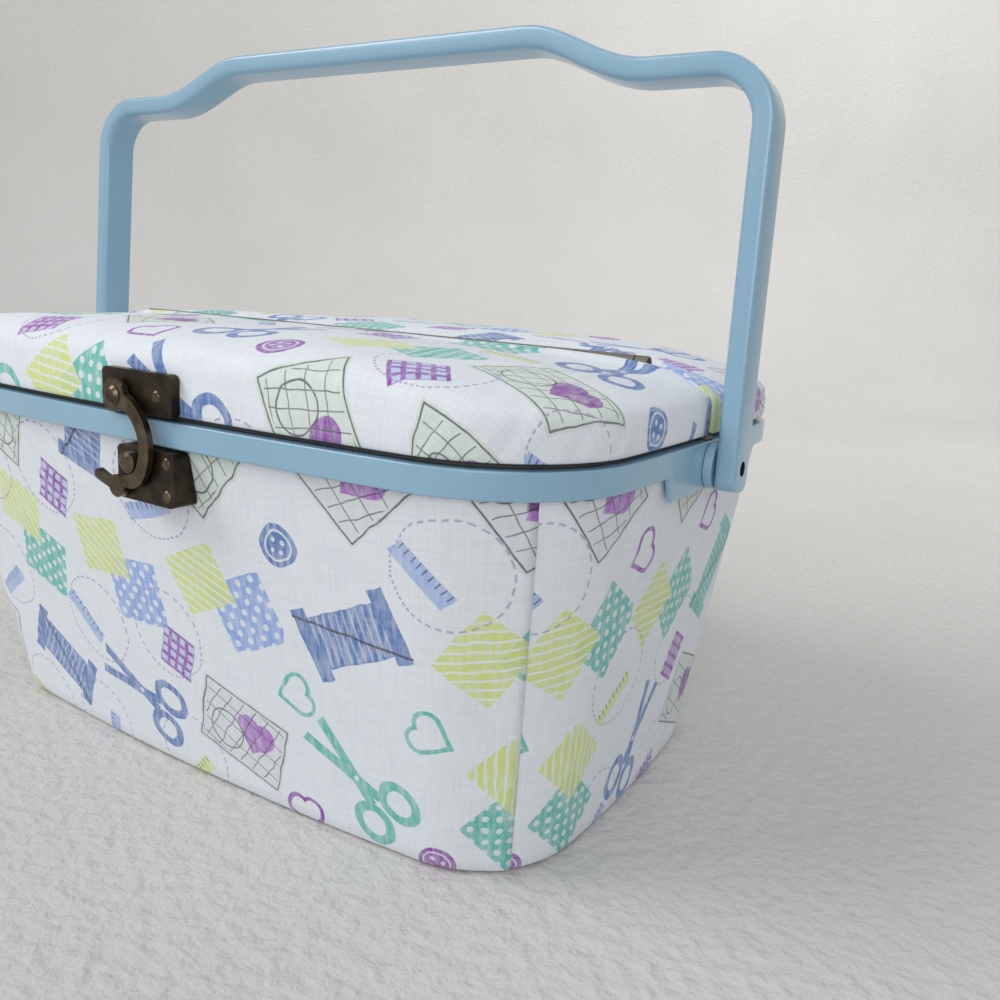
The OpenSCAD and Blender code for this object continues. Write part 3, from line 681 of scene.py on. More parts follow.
for side in ("front", "rear"):
    lid, latch = f"{side}_lid", f"{side}_latch_hook"
    ROUNDED += [
        (f"{lid}_knuckles", f"{lid}_barrels", taupe_hinge_shade_plastic, lid, "cream_plastic", 0.25),
        (f"{side}_hook_plate", f"{side}_hook_pressing", bronze, lid, "bronzed_metal", 0.35),
        (f"{side}_plate_rivet", f"{side}_plate_rivet_head", bright_bronze, lid, "bronzed_metal", 0.15),
        (f"{side}_hook_rivet", f"{side}_hook_pivot", bright_bronze, lid, "bronzed_metal", 0.25),
        (f"{side}_hook", f"{side}_swing_hook", bright_bronze, latch, "bronzed_metal", 0.65),
    ]
for row in ROUNDED:
    made = rounded_copy(*row)
    print(made.name, "faces:", len(made.data.polygons))

# %% [markdown]
# ## Outlines in plan
# The box, its band and its lids share one plan: a rounded rectangle whose sides bow out a little. A curve
# object could trace it, but the cloth needs matching points on every level, so the functions below give
# the points in order, and each cloth piece can be lofted from ring to ring.

# %% Plan of the box and the lids
RIM_A, RIM_B, RIM_R = 154.0, 113.5, 49.0
BASE_A, BASE_B, BASE_R = 137.0, 86.0, 40.0
SIDE_BOW, END_BOW = 4.0, 1.4
BOX_H, WALL_TOP, WALL_INSET = 136.0, 133.8, 2.0


def bow_radius(half, bow):
    """Radius of the arc that bulges by the bow over twice the half length."""
    return (half * half + bow * bow) / (2 * bow)


def spread(start, end, count):
    """Evenly spaced numbers from the start, leaving the end out."""
    return [start + (end - start) * i / count for i in range(count)]


class Plan:
    """A rounded rectangle with bowed sides: a is half its length, b half its width, r its corners."""

    def __init__(self, a, b, r):
        self.a, self.b, self.r = a, b, r
        self.long_half, self.end_half = a - r - END_BOW, b - r - SIDE_BOW
        self.big_front = bow_radius(self.long_half, SIDE_BOW)
        self.big_end = bow_radius(self.end_half, END_BOW)
        self.front_angle = math.asin(self.long_half / self.big_front)
        self.end_angle = math.asin(self.end_half / self.big_end)

    def front(self, t):
        reach = self.big_front + self.r
        return (reach * math.sin(t), reach - self.r - self.b - reach * math.cos(t) + self.r)

    def corner(self, t):
        return (self.long_half + self.r * math.sin(t), -self.end_half - self.r * math.cos(t))

    def end(self, t):
        reach = self.big_end + self.r
        return (self.a - reach + reach * math.cos(t), reach * math.sin(t))

    def half(self, long_n, corner_n, end_n):
        """Points from the left end of the front arc round to the right rear corner."""
        quarter = math.pi / 2
        points = [self.front(t) for t in spread(-self.front_angle, self.front_angle, long_n)]
        points += [self.corner(t) for t in spread(self.front_angle, quarter - self.end_angle, corner_n)]
        points += [self.end(t) for t in spread(-self.end_angle, self.end_angle, end_n)]
        back = [self.corner(t) for t in spread(quarter - self.end_angle, self.front_angle, corner_n)]
        return points + [(x, -y) for x, y in back]

    def all(self, long_n, corner_n, end_n):
        """The whole outline: the half and the same half turned round."""
        points = self.half(long_n, corner_n, end_n)
        return points + [(-x, -y) for x, y in points]


LONG_N, CORNER_N, END_N = 48, 20, 32
COLUMNS = 2 * (LONG_N + 2 * CORNER_N + END_N)


def wall_ring(z, inset):
    """The tapered wall's outline at a height, moved in by an inset."""
    share = z / WALL_TOP
    a, b, r = (low + (high - low) * share - inset for low, high in
               ((BASE_A, RIM_A - WALL_INSET), (BASE_B, RIM_B - WALL_INSET), (BASE_R, RIM_R - WALL_INSET)))
    return Plan(a, b, r).all(LONG_N, CORNER_N, END_N)


print("columns round the box:", COLUMNS)

# %% [markdown]
# ## Lofting cloth
# Cloth could be simulated, but glued cloth doesn't hang, so it is lofted: a ring of vertices is extruded
# again and again, and each new ring is moved to its own place. Every vertex remembers its column and its
# ring, so the cloth map can be laid afterwards: how far it is along the cloth in each direction, in
# metres, which is what the print and the weave read.


# %% Loft by extruding rings
def loft(rings, closed):
    """A bmesh whose rings of vertices stand at the given points, in millimetres."""
    bm = bmesh.new()
    column = bm.verts.layers.int.new("column")
    level = bm.verts.layers.int.new("level")
    row = [bm.verts.new(Vector(p) * MM) for p in rings[0]]
    for i, vert in enumerate(row):
        vert[column] = i
    edges = [bm.edges.new((a, b)) for a, b in zip(row, row[1:])]
    if closed:
        edges.append(bm.edges.new((row[-1], row[0])))
    for step, ring in enumerate(rings[1:], 1):
        made = bmesh.ops.extrude_edge_only(bm, edges=edges)["geom"]
        fresh = {v for v in made if isinstance(v, bmesh.types.BMVert)}
        for vert in fresh:
            vert.co = Vector(ring[vert[column]]) * MM
            vert[level] = step
        edges = [e for e in made if isinstance(e, bmesh.types.BMEdge) and set(e.verts) <= fresh]
    put_in_order(bm, column, level, len(rings[0]))
    return bm


def put_in_order(bm, column, level, count):
    """Sorts a loft ring by ring, because extruding makes its faces in another order on each run."""
    bm.verts.sort(key=lambda vert: vert[level] * count + vert[column])
    size = len(bm.verts)

    def ends_first(piece):
        places = [vert.index for vert in piece.verts]
        return min(places) * size + max(places)

    bm.edges.sort(key=ends_first)
    bm.faces.sort(key=ends_first)


def close_ring(bm, step):
    """Fills the loop of edges of one ring, and gives the new faces."""
    level = bm.verts.layers.int["level"]
    edges = [e for e in bm.edges if all(v[level] == step for v in e.verts)]
    return bmesh.ops.contextual_create(bm, geom=edges)["faces"]


def lay_map(bm, place, wrap=0.0):
    """Gives each face corner its place on the cloth; wrap is the cloth's length round a closed loft."""
    column = bm.verts.layers.int["column"]
    level = bm.verts.layers.int["level"]
    cloth = bm.loops.layers.uv.new("cloth")
    for face in bm.faces:
        spots = [place(corner.vert[column], corner.vert[level]) for corner in face.loops]
        highest = max(u for u, v in spots)
        for corner, (u, v) in zip(face.loops, spots):
            corner[cloth].uv = (u + wrap if wrap and highest - u > wrap / 2 else u, v)


def finish_mesh(bm, name):
    """Turns a bmesh into a smooth mesh whose faces point outwards."""
    bmesh.ops.recalc_face_normals(bm, faces=bm.faces)
    mesh = bpy.data.meshes.new(name)
    bm.to_mesh(mesh)
    bm.free()
    for face in mesh.polygons:
        face.use_smooth = True
    return mesh


def thicken(piece, thickness, offset):
    """Gives a sheet its thickness: inwards for an offset of -1, outwards for 1."""
    solid = piece.modifiers.new("thickness", "SOLIDIFY")
    solid.thickness = thickness * MM
    solid.offset = offset


print("lofting is ready")

# %% [markdown]
# ## Cloth round the box
# Four panels are glued to the board: the front and the rear run round the corners and lap over the ends
# in a folded edge, which shows as a straight raised seam down the middle of each corner. The lower edge
# turns under the box. Small dents and swells keep the glued cloth from looking machined.


# %% Wall panels
SEAM_A = LONG_N + CORNER_N // 2
SEAM_B = LONG_N + CORNER_N + END_N + CORNER_N // 2
PANEL_T = 0.8
TURN_UNDER, TURN_H = 2.2, 2.5
LAP_RISE = {0: 0.55, 1: 0.55, 2: 0.35}  # how far the folded edge stands out, column by column
LAP_TOP_GAP, LAP_FADE, WALL_SWELL = 9, 6, 0.12
COLUMN_MM, REAR_SHIFT = 3.6, 410  # where a panel starts on the printed cloth
WALL_LEVELS = [0.3, 1.0, TURN_H] + [TURN_H + (WALL_TOP - TURN_H) * i / 30 for i in range(1, 31)]


def wall_inset_at(z):
    """The cloth turns in under the lower edge."""
    return TURN_UNDER * (1 - min(z / TURN_H, 1)) ** 1.6


def swell(point, amount):
    """Gentle unevenness that depends only on the place, so that a rerun is the same."""
    place = Vector(point) * 0.022
    return amount * noise.noise(place) + 0.4 * amount * noise.noise(place * 3.1)


def wall_panel(name, first, last, node, lap, flip):
    """A panel between two columns; a lap adds its folded edges, a flip turns it to the other side."""
    rings = []
    for z in WALL_LEVELS:
        base = wall_ring(z, wall_inset_at(z))
        outer = wall_ring(z, wall_inset_at(z) - 1)
        ring = []
        for i in range(first - lap, last + lap + 1):
            inner_x, inner_y = base[i % COLUMNS]
            far_x, far_y = outer[i % COLUMNS]
            edge = min(i - (first - lap), (last + lap) - i)
            over = LAP_RISE.get(edge, 0) if lap else 0
            raised = over * min(max((WALL_TOP - LAP_TOP_GAP - z) / LAP_FADE, 0), 1)
            raised += swell((inner_x, inner_y, z), WALL_SWELL)
            ring.append((inner_x + (far_x - inner_x) * raised, inner_y + (far_y - inner_y) * raised, z))
        rings.append(ring)
    if flip:
        rings = [[(-x, -y, z) for x, y, z in ring] for ring in rings]
    bm = loft(rings, False)
    lengths = [0.0]
    middle = rings[len(rings) // 2]
    for a, b in zip(middle, middle[1:]):
        lengths.append(lengths[-1] + math.dist(a, b))
    start = (first - lap) * COLUMN_MM + (REAR_SHIFT if flip else 0)
    lay_map(bm, lambda c, l: ((start + lengths[c]) * MM, WALL_LEVELS[l] * MM))
    mesh = finish_mesh(bm, name)
    piece = link_piece(mesh, name, printed_cotton, "box", "printed_cotton", node)
    thicken(piece, PANEL_T, -1)
    return piece


def outward(piece):
    """Turns a wall panel's faces away from the box if the recalculation left them facing in."""
    face = piece.data.polygons[len(piece.data.polygons) // 2]
    if face.normal.dot(Vector((face.center.x, face.center.y, 0))) < 0:
        piece.data.flip_normals()


panels = [
    wall_panel("front_panel", -CORNER_N // 2, SEAM_A, "fabric_front", 1, False),
    wall_panel("rear_panel", -CORNER_N // 2, SEAM_A, "fabric_rear", 1, True),
    wall_panel("right_end_panel", SEAM_A, SEAM_B, "fabric_right_end", 0, False),
    wall_panel("left_end_panel", SEAM_A, SEAM_B, "fabric_left_end", 0, True),
]
for panel in panels:
    outward(panel)

# %% [markdown]
# ## Base and lining
# A cut of the print is glued under the base, and plain cotton lines the base and the walls inside. The
# two flat sheets are one face inset and cut into smaller ones, and the wall's lining is one closed loft.


# %% Base cloth and linings
LINING_LOW, LINING_INSET, LINING_STEPS = 3.6, 4.4, 18


def flat_sheet(name, ring, z_low, z_high, node, material, slot):
    """A sheet cut to a plan and glued down, its faces between two heights."""
    bm = bmesh.new()
    rim = [bm.verts.new(Vector((x, y, z_low)) * MM) for x, y in ring]
    face = bm.faces.new(rim)
    bmesh.ops.inset_region(bm, faces=[face], thickness=12 * MM, depth=0)
    bmesh.ops.triangulate(bm, faces=[f for f in bm.faces if len(f.verts) > 4])
    bmesh.ops.subdivide_edges(bm, edges=[e for e in bm.edges if e.calc_length() > 30 * MM], cuts=2)
    bmesh.ops.triangulate(bm, faces=[f for f in bm.faces if len(f.verts) > 4])
    cloth = bm.loops.layers.uv.new("cloth")
    for face in bm.faces:
        for corner in face.loops:
            corner[cloth].uv = (corner.vert.co.x + 0.5, corner.vert.co.y + 0.5)
    mesh = finish_mesh(bm, name)
    if mesh.polygons[0].normal.z > 0:
        mesh.flip_normals()
    piece = link_piece(mesh, name, material, "box", slot, node)
    thicken(piece, z_high - z_low, -1)
    return piece


flat_sheet("base_cloth", wall_ring(0, 3.2), 0, 0.8, "fabric_base", printed_cotton, "printed_cotton")
flat_sheet("base_lining", wall_ring(LINING_LOW, 4.5), LINING_LOW, 4.6, "lining_base", plain_cotton,
           "lining_cotton")

lining_levels = [LINING_LOW]
lining_levels += [LINING_LOW + (WALL_TOP - LINING_LOW) * i / LINING_STEPS for i in range(1, LINING_STEPS + 1)]
lining_rings = [[(x, y, z) for x, y in wall_ring(z, LINING_INSET)] for z in lining_levels]
lining_bm = loft(lining_rings, True)
middle_ring = lining_rings[len(lining_rings) // 2]
lining_len = sum(math.dist(a, b) for a, b in zip(middle_ring, middle_ring[1:] + middle_ring[:1]))
lay_map(lining_bm, lambda c, l: (lining_len * c / COLUMNS * MM, lining_levels[l] * MM), lining_len * MM)
wall_lining = link_piece(finish_mesh(lining_bm, "wall_lining"), "wall_lining", plain_cotton, "box",
                         "lining_cotton", "lining_wall")
outward(wall_lining)
thicken(wall_lining, 1.0, 1)
print("lining length in mm:", round(lining_len))

# %% [markdown]
# ## Padded lids
# Each lid is a shallow frame with foam on top, and the printed cotton is pulled over it and tucked
# under. Its plan is the front half of the box's, cut straight along the hinge, and the back edge rises in
# the middle to hide the hinge. Its points run round from the middle of the front, so that the left half
# is the right one mirrored.


# %% Plan of a lid
LID_INSET, PAD_BACK = 1.2, 5.4
SIDE_H, CROWN_H, BACK_H, KNUCKLE_HALF = 12.0, 27.3, 19.5, 124.0
LID_FRONT_N, LID_CORNER_N, LID_END_N, LID_BACK_N = 30, 30, 14, 34


def lid_ring(inset, back):
    """Points of the front lid's plan from the middle of its front, anticlockwise."""
    plan = Plan(RIM_A - inset, RIM_B - inset, RIM_R - inset)
    last = math.asin(back / (plan.big_end + plan.r))
    quarter = math.pi / 2
    half = [plan.front(t) for t in spread(0, plan.front_angle, LID_FRONT_N)]
    half += [plan.corner(t) for t in spread(plan.front_angle, quarter - plan.end_angle, LID_CORNER_N)]
    half += [plan.end(t) for t in spread(-plan.end_angle, -last, LID_END_N)]
    tip = plan.end(-last)
    half += [(x, -back) for x in spread(tip[0], 0, LID_BACK_N)]
    half.append((0, -back))
    return half + [(-x, y) for x, y in half[-2:0:-1]]


def back_rise(x):
    """How much higher the cover's back edge is than its side, from the middle out to the ends."""
    over = max(abs(x) - KNUCKLE_HALF, 0) / (RIM_A - 3.7 - KNUCKLE_HALF)
    return (BACK_H - SIDE_H) * math.sqrt(max(1 - over * over, 0))


print("columns round a lid:", len(lid_ring(LID_INSET, PAD_BACK)))

# %% [markdown]
# ## Pleats and bulges
# Where the real cloth turns a corner it can't lie flat: it is folded into pleats, and past the hinge's
# posts the soft edge bulges over the back. A cloth simulation would give folds in other places every
# time, so each pleat has a place, a slant and a depth, and the vertices there are pressed in.


# %% Pleats, bulges and rounding
CROWN_LOOPS = [0.997, 0.992, 0.985, 0.975, 0.962, 0.945, 0.925, 0.90, 0.87, 0.835, 0.79, 0.74, 0.68, 0.61,
               0.53, 0.44, 0.34, 0.23, 0.12, 0.05]
EAR_FROM, EAR_TO, EAR_REACH = 127.0, 141.0, 4.0
ROUND_FROM, ROUND_TO, ROUND_DROP = 95.0, 150.0, 1.2
PLEATS = [(-0.55, 10, 0.8), (-0.12, 14, 1.1), (0.30, 12, 0.9), (0.62, 9, 0.7)]


def smooth_step(low, high, value):
    along = min(max((value - low) / (high - low), 0), 1)
    return along * along * (3 - 2 * along)


def ear(x, share):
    """Beyond the hinge posts the cloth bulges over the lid's back edge, nearly as far as the middle."""
    return EAR_REACH * smooth_step(EAR_FROM, EAR_TO, abs(x)) * min(max((share - 0.9) / 0.1, 0), 1) ** 1.5


def pleat_depth(turn, z_above):
    """How far a pleat presses the cloth in, for a place round a corner and a height over the hem."""
    depth = 0.0
    for at, slant, deepest in PLEATS:
        off = (turn - at) * 36 - (z_above - 5) * slant / 26
        fold = -deepest * math.exp(-((off / 1.1) ** 2))
        fold += 0.55 * deepest * math.exp(-(((off - 2.4) / 1.7) ** 2))
        depth += fold * max(1 - abs(z_above - 6) / 12, 0)
    return depth


print("pleats at each corner:", len(PLEATS))

# %% [markdown]
# ## Columns of a lid cover
# The cover is lofted from a hem at the rim, up the side and over the crown in shrinking loops. A column
# is one line of cloth from the hem to the middle of the crown. It knows its place on the plan, which way
# is out, how high its side goes and how far round a corner it stands, and so where each vertex belongs.


# %% Columns of a lid cover
COVER_HEM, HEM_ROLL = BOX_H + 1.8, 0.35
HEM_RINGS = ((-2.2, 0.5), (-1.0, 0.05), (-0.3, 0.0), (0.0, HEM_ROLL))
SIDE_SHARES = (0.12, 0.24, 0.36, 0.48, 0.6, 0.72, 0.84, 0.94, 1.0)
COVER_MIDDLE = (0.0, -(RIM_B - LID_INSET + PAD_BACK) / 2)
SIDE_BELLY, SIDE_SWELL, CROWN_SWELL, PUCKER, PUCKERS = 0.30, 0.25, 0.35, 0.22, 41


class CoverColumn:
    """A line of cloth from the hem to the middle of the crown."""

    def __init__(self, spot, before, after, plan):
        length = math.dist(before, after)
        self.x, self.y = spot
        self.out_x, self.out_y = (after[1] - before[1]) / length, (before[0] - after[0]) / length
        self.on_back = self.y > -PAD_BACK - 0.01
        self.soft = smooth_step(EAR_TO if self.on_back else ROUND_FROM, ROUND_TO, abs(self.x))
        self.top = BOX_H + SIDE_H + (back_rise(self.x) if self.on_back else -ROUND_DROP * self.soft)
        self.turn = None
        if abs(self.x) > plan.long_half and -self.y > plan.end_half:
            self.turn = math.atan2(abs(self.x) - plan.long_half, -self.y - plan.end_half) - math.pi / 4

    def pleat(self, z):
        return pleat_depth(self.turn if self.x > 0 else -self.turn + 0.2, z - COVER_HEM)

    def side_point(self, out, z):
        """A point of the hem or the side; on the back edge only the bulge moves it."""
        out = 0.0 if self.on_back else out
        return (self.x + self.out_x * out, self.y + self.out_y * out + self.on_back * ear(self.x, 1), z)

    def side_out(self, share, z):
        """How far the side stands out: a slight belly, and pleats and puckers at the corners."""
        out = SIDE_BELLY * math.sin(math.pi * share) + swell((self.x, self.y, z), SIDE_SWELL)
        if self.turn is not None:
            out += self.pleat(z)
            out += PUCKER * math.sin(self.turn * PUCKERS) * (1 - share) ** 2
        return out

    def crown_point(self, s):
        """A point of the crown, where s goes from 1 at the side to 0 in the middle."""
        px = COVER_MIDDLE[0] + s * (self.x - COVER_MIDDLE[0])
        py = COVER_MIDDLE[1] + s * (self.y - COVER_MIDDLE[1]) + self.on_back * ear(self.x, s)
        dome = (1 - s ** (4 - 1.1 * self.soft)) ** (1 / 3 + self.soft / 7)
        z = self.top + (BOX_H + CROWN_H - self.top) * dome
        z += swell((px, py, 0), CROWN_SWELL) * min((1 - s) * 8, 1)
        if self.turn is not None and s > 0.8:
            press = self.pleat(z) * (s - 0.8) / 0.2
            px, py = px + self.out_x * press, py + self.out_y * press
        return (px, py, z)


def cover_columns():
    ring = lid_ring(LID_INSET, PAD_BACK)
    plan = Plan(RIM_A - LID_INSET, RIM_B - LID_INSET, RIM_R - LID_INSET)
    return [CoverColumn(spot, ring[i - 1], ring[(i + 1) % len(ring)], plan) for i, spot in enumerate(ring)]


print("columns on the back edge:", sum(column.on_back for column in cover_columns()))

# %% [markdown]
# ## Lid covers
# The rings are read off the columns and lofted, and the rear cover is the front one turned half round.
# The print has to run over the edge without a jump, so the cloth map is the plan place pushed outwards by
# what the cloth's length gains over its plan distance. The hem and the crown's middle are closed.


# %% Lid covers
def cover_rings(columns):
    """The rings of points of a cover: hem, side and crown."""
    rings = [[column.side_point(out, COVER_HEM + lift) for column in columns] for out, lift in HEM_RINGS]
    for share in SIDE_SHARES:
        level = []
        for column in columns:
            z = COVER_HEM + HEM_ROLL + (column.top - COVER_HEM - HEM_ROLL) * share
            level.append(column.side_point(column.side_out(share, z), z))
        rings.append(level)
    return rings + [[column.crown_point(s) for column in columns] for s in CROWN_LOOPS]


def cloth_places(columns, rings, shift):
    """The place on the cloth, in metres, of every column's point on every ring."""
    places = []
    for column, line in zip(columns, zip(*rings)):
        centre, outwards = Vector(line[-1][:2]), Vector((column.out_x, column.out_y))
        length, below, spots = 0.0, line[-1], []
        for point in reversed(line):
            length += math.dist(point, below)
            below = point
            spot = Vector(point[:2])
            gained = length - (spot - centre).length
            spots.append((spot + outwards * gained) * MM + shift)
        places.append([(spot.x, spot.y) for spot in reversed(spots)])
    return places


def lid_cover(name, body, node, rear):
    """The printed cover of one lid."""
    columns = cover_columns()
    rings = cover_rings(columns)
    shift = Vector((0.23, 0.71)) if rear else Vector((0.05, 0.36))
    places = cloth_places(columns, rings, shift)
    if rear:
        rings = [[(-x, -y, z) for x, y, z in level] for level in rings]
    bm = loft(rings, True)
    lay_map(bm, lambda column, step: places[column][step])
    cloth = bm.loops.layers.uv["cloth"]
    last = len(rings) - 1
    for step in (0, last):
        cap = close_ring(bm, step)
        if step == last:
            cap = bmesh.ops.poke(bm, faces=cap)["faces"]
        for face in cap:
            for corner in face.loops:
                corner[cloth].uv = Vector(corner.vert.co.xy) * (-1 if rear else 1) + shift
    mesh = finish_mesh(bm, name)
    piece = link_piece(mesh, name, printed_cotton, body, "printed_cotton", node)
    print(name, "faces:", len(mesh.polygons))


lid_cover("front_lid_cover", "front_lid", "front_lid_pad", False)
lid_cover("rear_lid_cover", "rear_lid", "rear_lid_pad", True)

# %% [markdown]
# ## Lid linings
# Under each lid a panel of padded plain cotton is pushed into the frame, and its middle hangs down a
# little. It is a loft too: straight up inside the frame, then inwards in shrinking loops.


# %% Lid linings
LINING_IN, LINING_BACK, SAG_EDGE = 5.9, 5.5, 1.2
SAG = ((0.994, 0.4), (0.975, 0.05), (0.94, 0.0), (0.90, -0.15), (0.84, -0.5), (0.7, -1.0), (0.5, -1.3),
       (0.25, -1.5), (0.08, -1.5))


def lid_lining(name, body, node, rear):
    """A soft panel that fills the frame from below, swelling a little towards the box."""
    ring = lid_ring(LINING_IN, LINING_BACK)
    middle = (0.0, -(RIM_B - LINING_IN + LINING_BACK) / 2)
    low, high = BOX_H + 0.5, BOX_H + 9.8
    rings = [[(x, y, high) for x, y in ring], [(x, y, low + SAG_EDGE) for x, y in ring]]
    for s, drop in SAG:
        rings.append([(middle[0] + s * (x - middle[0]), middle[1] + s * (y - middle[1]), low + drop)
                      for x, y in ring])
    if rear:
        rings = [[(-x, -y, z) for x, y, z in level] for level in rings]
    bm = loft(rings, True)
    for step in (0, len(rings) - 1):
        close_ring(bm, step)
    cloth = bm.loops.layers.uv.new("cloth")
    for face in bm.faces:
        for corner in face.loops:
            corner[cloth].uv = (corner.vert.co.x + 0.3, corner.vert.co.y + corner.vert.co.z)
    mesh = finish_mesh(bm, name)
    piece = link_piece(mesh, name, plain_cotton, body, "lining_cotton", node)
    print(name, "faces:", len(mesh.polygons))


lid_lining("front_lid_lining_panel", "front_lid", "front_lid_lining", False)
lid_lining("rear_lid_lining_panel", "rear_lid", "rear_lid_lining", True)

# %% [markdown]
# ## Handle
# The bail is one moulded strap: a raised middle, two shoulders, two rounded corners and two legs. A curve
# with a bevel could make it, but the feet narrow and round off, so sections are lofted along a path. The
# path is that of the strap's outer face, seen from the front, from the middle to the right foot.


# %% Handle path
HALF_SPAN, STRAP_W, STRAP_T, HANDLE_H = 165.0, 14.7, 7.4, 141.6
SHOULDER_H, CORNER_R, LEG_LEAN, LEAN_DEG = 128.2, 22.5, 3.9, 3.0
SHOULDER_LEN, RISE_LEN, FOOT, FOOT_R, PIVOT_Z = 21.6, 48.0, 7.6, 4.0, 128.0
PIVOT_R = 2.55
FOOT_DEPTHS = (0, 2, 3.6, 4.4, 5.2, 6.0, 6.6, 7.1, 7.4, FOOT)


def handle_path():
    """Points of the strap's outer face from the middle to the right foot, as x and height."""
    tilt = math.atan(LEG_LEAN / HANDLE_H)
    leg_x = HALF_SPAN - LEG_LEAN * (SHOULDER_H - CORNER_R) / HANDLE_H
    corner_x = leg_x - CORNER_R
    shoulder = corner_x - SHOULDER_LEN
    crest = shoulder - RISE_LEN
    points = [(x, HANDLE_H) for x in spread(0, crest, 8)]
    for x in spread(crest, shoulder, 24):
        drop = (HANDLE_H - SHOULDER_H) * (1 - math.cos(math.pi * (x - crest) / RISE_LEN)) / 2
        points.append((x, HANDLE_H - drop))
    points += [(x, SHOULDER_H) for x in spread(shoulder, corner_x, 5)]
    points += [(corner_x + CORNER_R * math.cos(t), SHOULDER_H - CORNER_R + CORNER_R * math.sin(t))
               for t in spread(math.pi / 2, tilt, 18)]
    points += [(HALF_SPAN - LEG_LEAN * h / HANDLE_H, h) for h in spread(SHOULDER_H - CORNER_R, 0, 14)]
    points += [(HALF_SPAN + LEG_LEAN * d / HANDLE_H, -d) for d in FOOT_DEPTHS]
    return points


print("points on half the handle:", len(handle_path()))

# %% [markdown]
# ## Section of the strap
# The real strap is a flat bar with rounded edges, and its front inner edge is rounded more, for the
# hand. Each section stands square to the path, and the whole leans back as it does in the photo.


# %% Handle sections
def strap_section(width):
    """Corners of the section as depth below the outer face and place across, with four radii."""
    half = width / 2
    corners = [(0, -1, 1.6), (0, 1, 1.6), (STRAP_T, 1, 1.6), (STRAP_T, -1, 2.6)]
    section = []
    for (depth, side, radius), start in zip(corners, (270, 180, 90, 0)):
        radius = min(radius, half * 0.9)
        centre = (depth + (radius if depth == 0 else -radius), side * (half - radius))
        for k in range(6):
            a = math.radians(start - 18 * k)
            section.append((centre[0] + radius * math.cos(a), centre[1] + radius * math.sin(a)))
    return section


def handle_rings():
    """The sections along the whole path, from the left foot to the right one."""
    half = handle_path()
    path = [(-x, h) for x, h in half[:0:-1]] + half
    lean = Matrix.Rotation(math.radians(-LEAN_DEG), 3, "X")
    rings = []
    for i, (x, h) in enumerate(path):
        (ax, ah), (bx, bh) = path[max(i - 1, 0)], path[min(i + 1, len(path) - 1)]
        length = math.dist((ax, ah), (bx, bh))
        inward = ((bh - ah) / length, (ax - bx) / length)
        over = max(FOOT_R - (FOOT + h), 0)
        width = STRAP_W - 2 * (FOOT_R - math.sqrt(max(FOOT_R * FOOT_R - over * over, 0)))
        ring = []
        for depth, across in strap_section(width):
            place = lean @ Vector((x + inward[0] * depth, across, h + inward[1] * depth))
            ring.append((place.x, place.y, place.z + PIVOT_Z))
        rings.append(ring)
    return rings


print("corners of a section:", len(strap_section(STRAP_W)))

# %% [markdown]
# ## Handle with its holes
# Each leg has a hole for the pin that it turns on, and the hole is a dark spot. A cylinder through both legs
# cuts the two holes at once with a Boolean modifier. Only the wall of the holes then gets the near-black pin
# material, found by its distance from the pin's line, as painted shade for the inside of the hole.


# %% Handle mesh
strap_rings = handle_rings()
handle_bm = loft(strap_rings, True)
for step in (0, len(strap_rings) - 1):
    close_ring(handle_bm, step)
handle_mesh = finish_mesh(handle_bm, "carry_handle_strap")
handle = link_piece(handle_mesh, "carry_handle_strap", blue_plastic, "carry_handle", "blue_plastic", "handle")

drill_bm = bmesh.new()
drill_place = Matrix.Translation((0, 0, PIVOT_Z * MM)) @ Matrix.Rotation(math.pi / 2, 4, "Y")
bmesh.ops.create_cone(drill_bm, cap_ends=True, segments=48, radius1=PIVOT_R * MM, radius2=PIVOT_R * MM,
                      depth=0.4, matrix=drill_place)
drill_mesh = bpy.data.meshes.new("drill")
drill_bm.to_mesh(drill_mesh)
drill_bm.free()
drill = bpy.data.objects.new("drill", drill_mesh)
bpy.context.collection.objects.link(drill)
cut = handle.modifiers.new("pivot holes", "BOOLEAN")
cut.operation = "DIFFERENCE"
cut.solver = "EXACT"
cut.object = drill
bpy.context.view_layer.update()
drilled = bpy.data.meshes.new_from_object(handle.evaluated_get(bpy.context.evaluated_depsgraph_get()))
handle.modifiers.clear()
handle.data = drilled
handle.data.name = "carry_handle_strap"
bpy.data.objects.remove(drill)
smooth_by_angle(handle.data, 40)
# The hole walls get the near-black pin material as painted shade inside the holes.
handle.data.materials.append(pin_and_hole_shade_steel)
hole_wall_for_shade = [math.hypot(vert.co.y, vert.co.z - PIVOT_Z * MM) < (PIVOT_R + 0.05) * MM
            for vert in handle.data.vertices]
for face in handle.data.polygons:
    if all(hole_wall_for_shade[i] for i in face.vertices):
        face.material_index = 1
print("handle faces:", len(handle.data.polygons))

# %% [markdown]
# ## Floor and backdrop
# The object stands on a pale, short-piled sheet that runs back and curves up into a backdrop, as in a
# small product studio. A plane and a wall would show a line where they meet, so one profile is extruded
# sideways, and turned to stand square to the camera. Its paleness comes from its own colour.


# %% Floor and backdrop
SWEEP_START, SWEEP_TOP, SWEEP_R, SWEEP_HALF = 1.2, 2.6, 0.5, 3.5


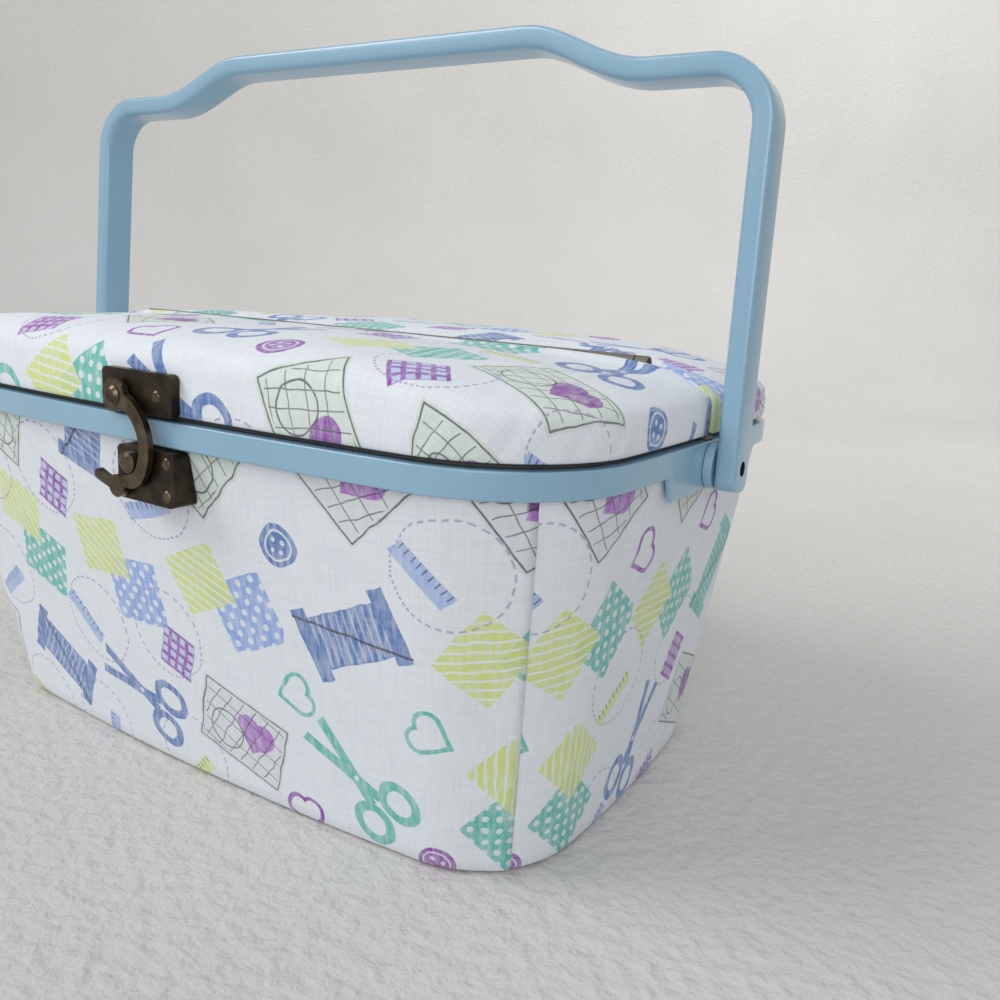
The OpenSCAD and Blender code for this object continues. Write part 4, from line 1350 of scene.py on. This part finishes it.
def make_floor():
    """The sheet under and behind the object, in metres."""
    material, tree, shader = new_material("pale_backdrop")
    place = tree.nodes.new("ShaderNodeTexCoord")
    pile = noise_of(tree, place.outputs["Object"], 170, 5)
    cloud = noise_of(tree, place.outputs["Object"], 5, 2)
    colour = blend_colour(tree, cloud * 0.6 + pile * 0.4, (0.56, 0.55, 0.53), (0.68, 0.67, 0.65))
    tree.links.new(colour.socket, shader.inputs["Base Color"])
    shader.inputs["Roughness"].default_value = 0.95
    add_bump(tree, shader, pile, 0.0035, 0.65)
    bm = bmesh.new()
    profile = [(-2.5, 0.0), (SWEEP_START, 0.0)]
    profile += [(SWEEP_START + SWEEP_R * math.sin(t), SWEEP_R - SWEEP_R * math.cos(t))
                for t in spread(0.1, math.pi / 2, 12)]
    profile += [(SWEEP_START + SWEEP_R, SWEEP_R), (SWEEP_START + SWEEP_R, SWEEP_TOP)]
    row = [bm.verts.new((-SWEEP_HALF, y, z)) for y, z in profile]
    edges = [bm.edges.new(pair) for pair in zip(row, row[1:])]
    made = bmesh.ops.extrude_edge_only(bm, edges=edges)["geom"]
    far_row = [v for v in made if isinstance(v, bmesh.types.BMVert)]
    bmesh.ops.translate(bm, verts=far_row, vec=(2 * SWEEP_HALF, 0, 0))
    bmesh.ops.transform(bm, matrix=Matrix.Rotation(-VIEW_YAW, 4, "Z"), verts=bm.verts)
    mesh = finish_mesh(bm, "floor_sweep")
    if mesh.polygons[0].normal.z < 0:
        mesh.flip_normals()
    mesh.materials.append(material)
    floor = bpy.data.objects.new("floor_sweep", mesh)
    bpy.context.collection.objects.link(floor)
    print("floor faces:", len(mesh.polygons))


make_floor()

# %% [markdown]
# ## Light
# The photo's light is soft and even, brighter from the left. A wide key lamp at the front left gives the
# soft shadow towards the right, a weaker one at the front right opens the end of the box, a third lights
# only the backdrop, and an even pale world fills the rest.


# %% Light
def soft_lamp(name, place, size, watts, target=(0, 0, 0.1)):
    lamp = bpy.data.lights.new(name, "AREA")
    lamp.shape = "DISK"
    lamp.size = size
    lamp.energy = watts
    holder = bpy.data.objects.new(name, lamp)
    holder.location = place
    holder.rotation_euler = (Vector(target) - Vector(place)).to_track_quat("-Z", "Y").to_euler()
    bpy.context.collection.objects.link(holder)


soft_lamp("key_lamp", (-1.3, -1.2, 1.7), 1.3, 24)
soft_lamp("front_lamp", (0.9, -1.8, 0.9), 1.4, 13)
soft_lamp("backdrop_lamp", (0.45, 0.75, 1.5), 0.8, 15, (-0.1, 1.9, 0.75))
world = bpy.data.worlds.new("studio")
bpy.context.scene.world = world
world.use_nodes = True
world.node_tree.nodes["Background"].inputs["Color"].default_value = (0.95, 0.97, 1.0, 1)
world.node_tree.nodes["Background"].inputs["Strength"].default_value = 0.47
bpy.context.scene.view_settings.view_transform = "Standard"
print("lamps:", len(bpy.data.lights))
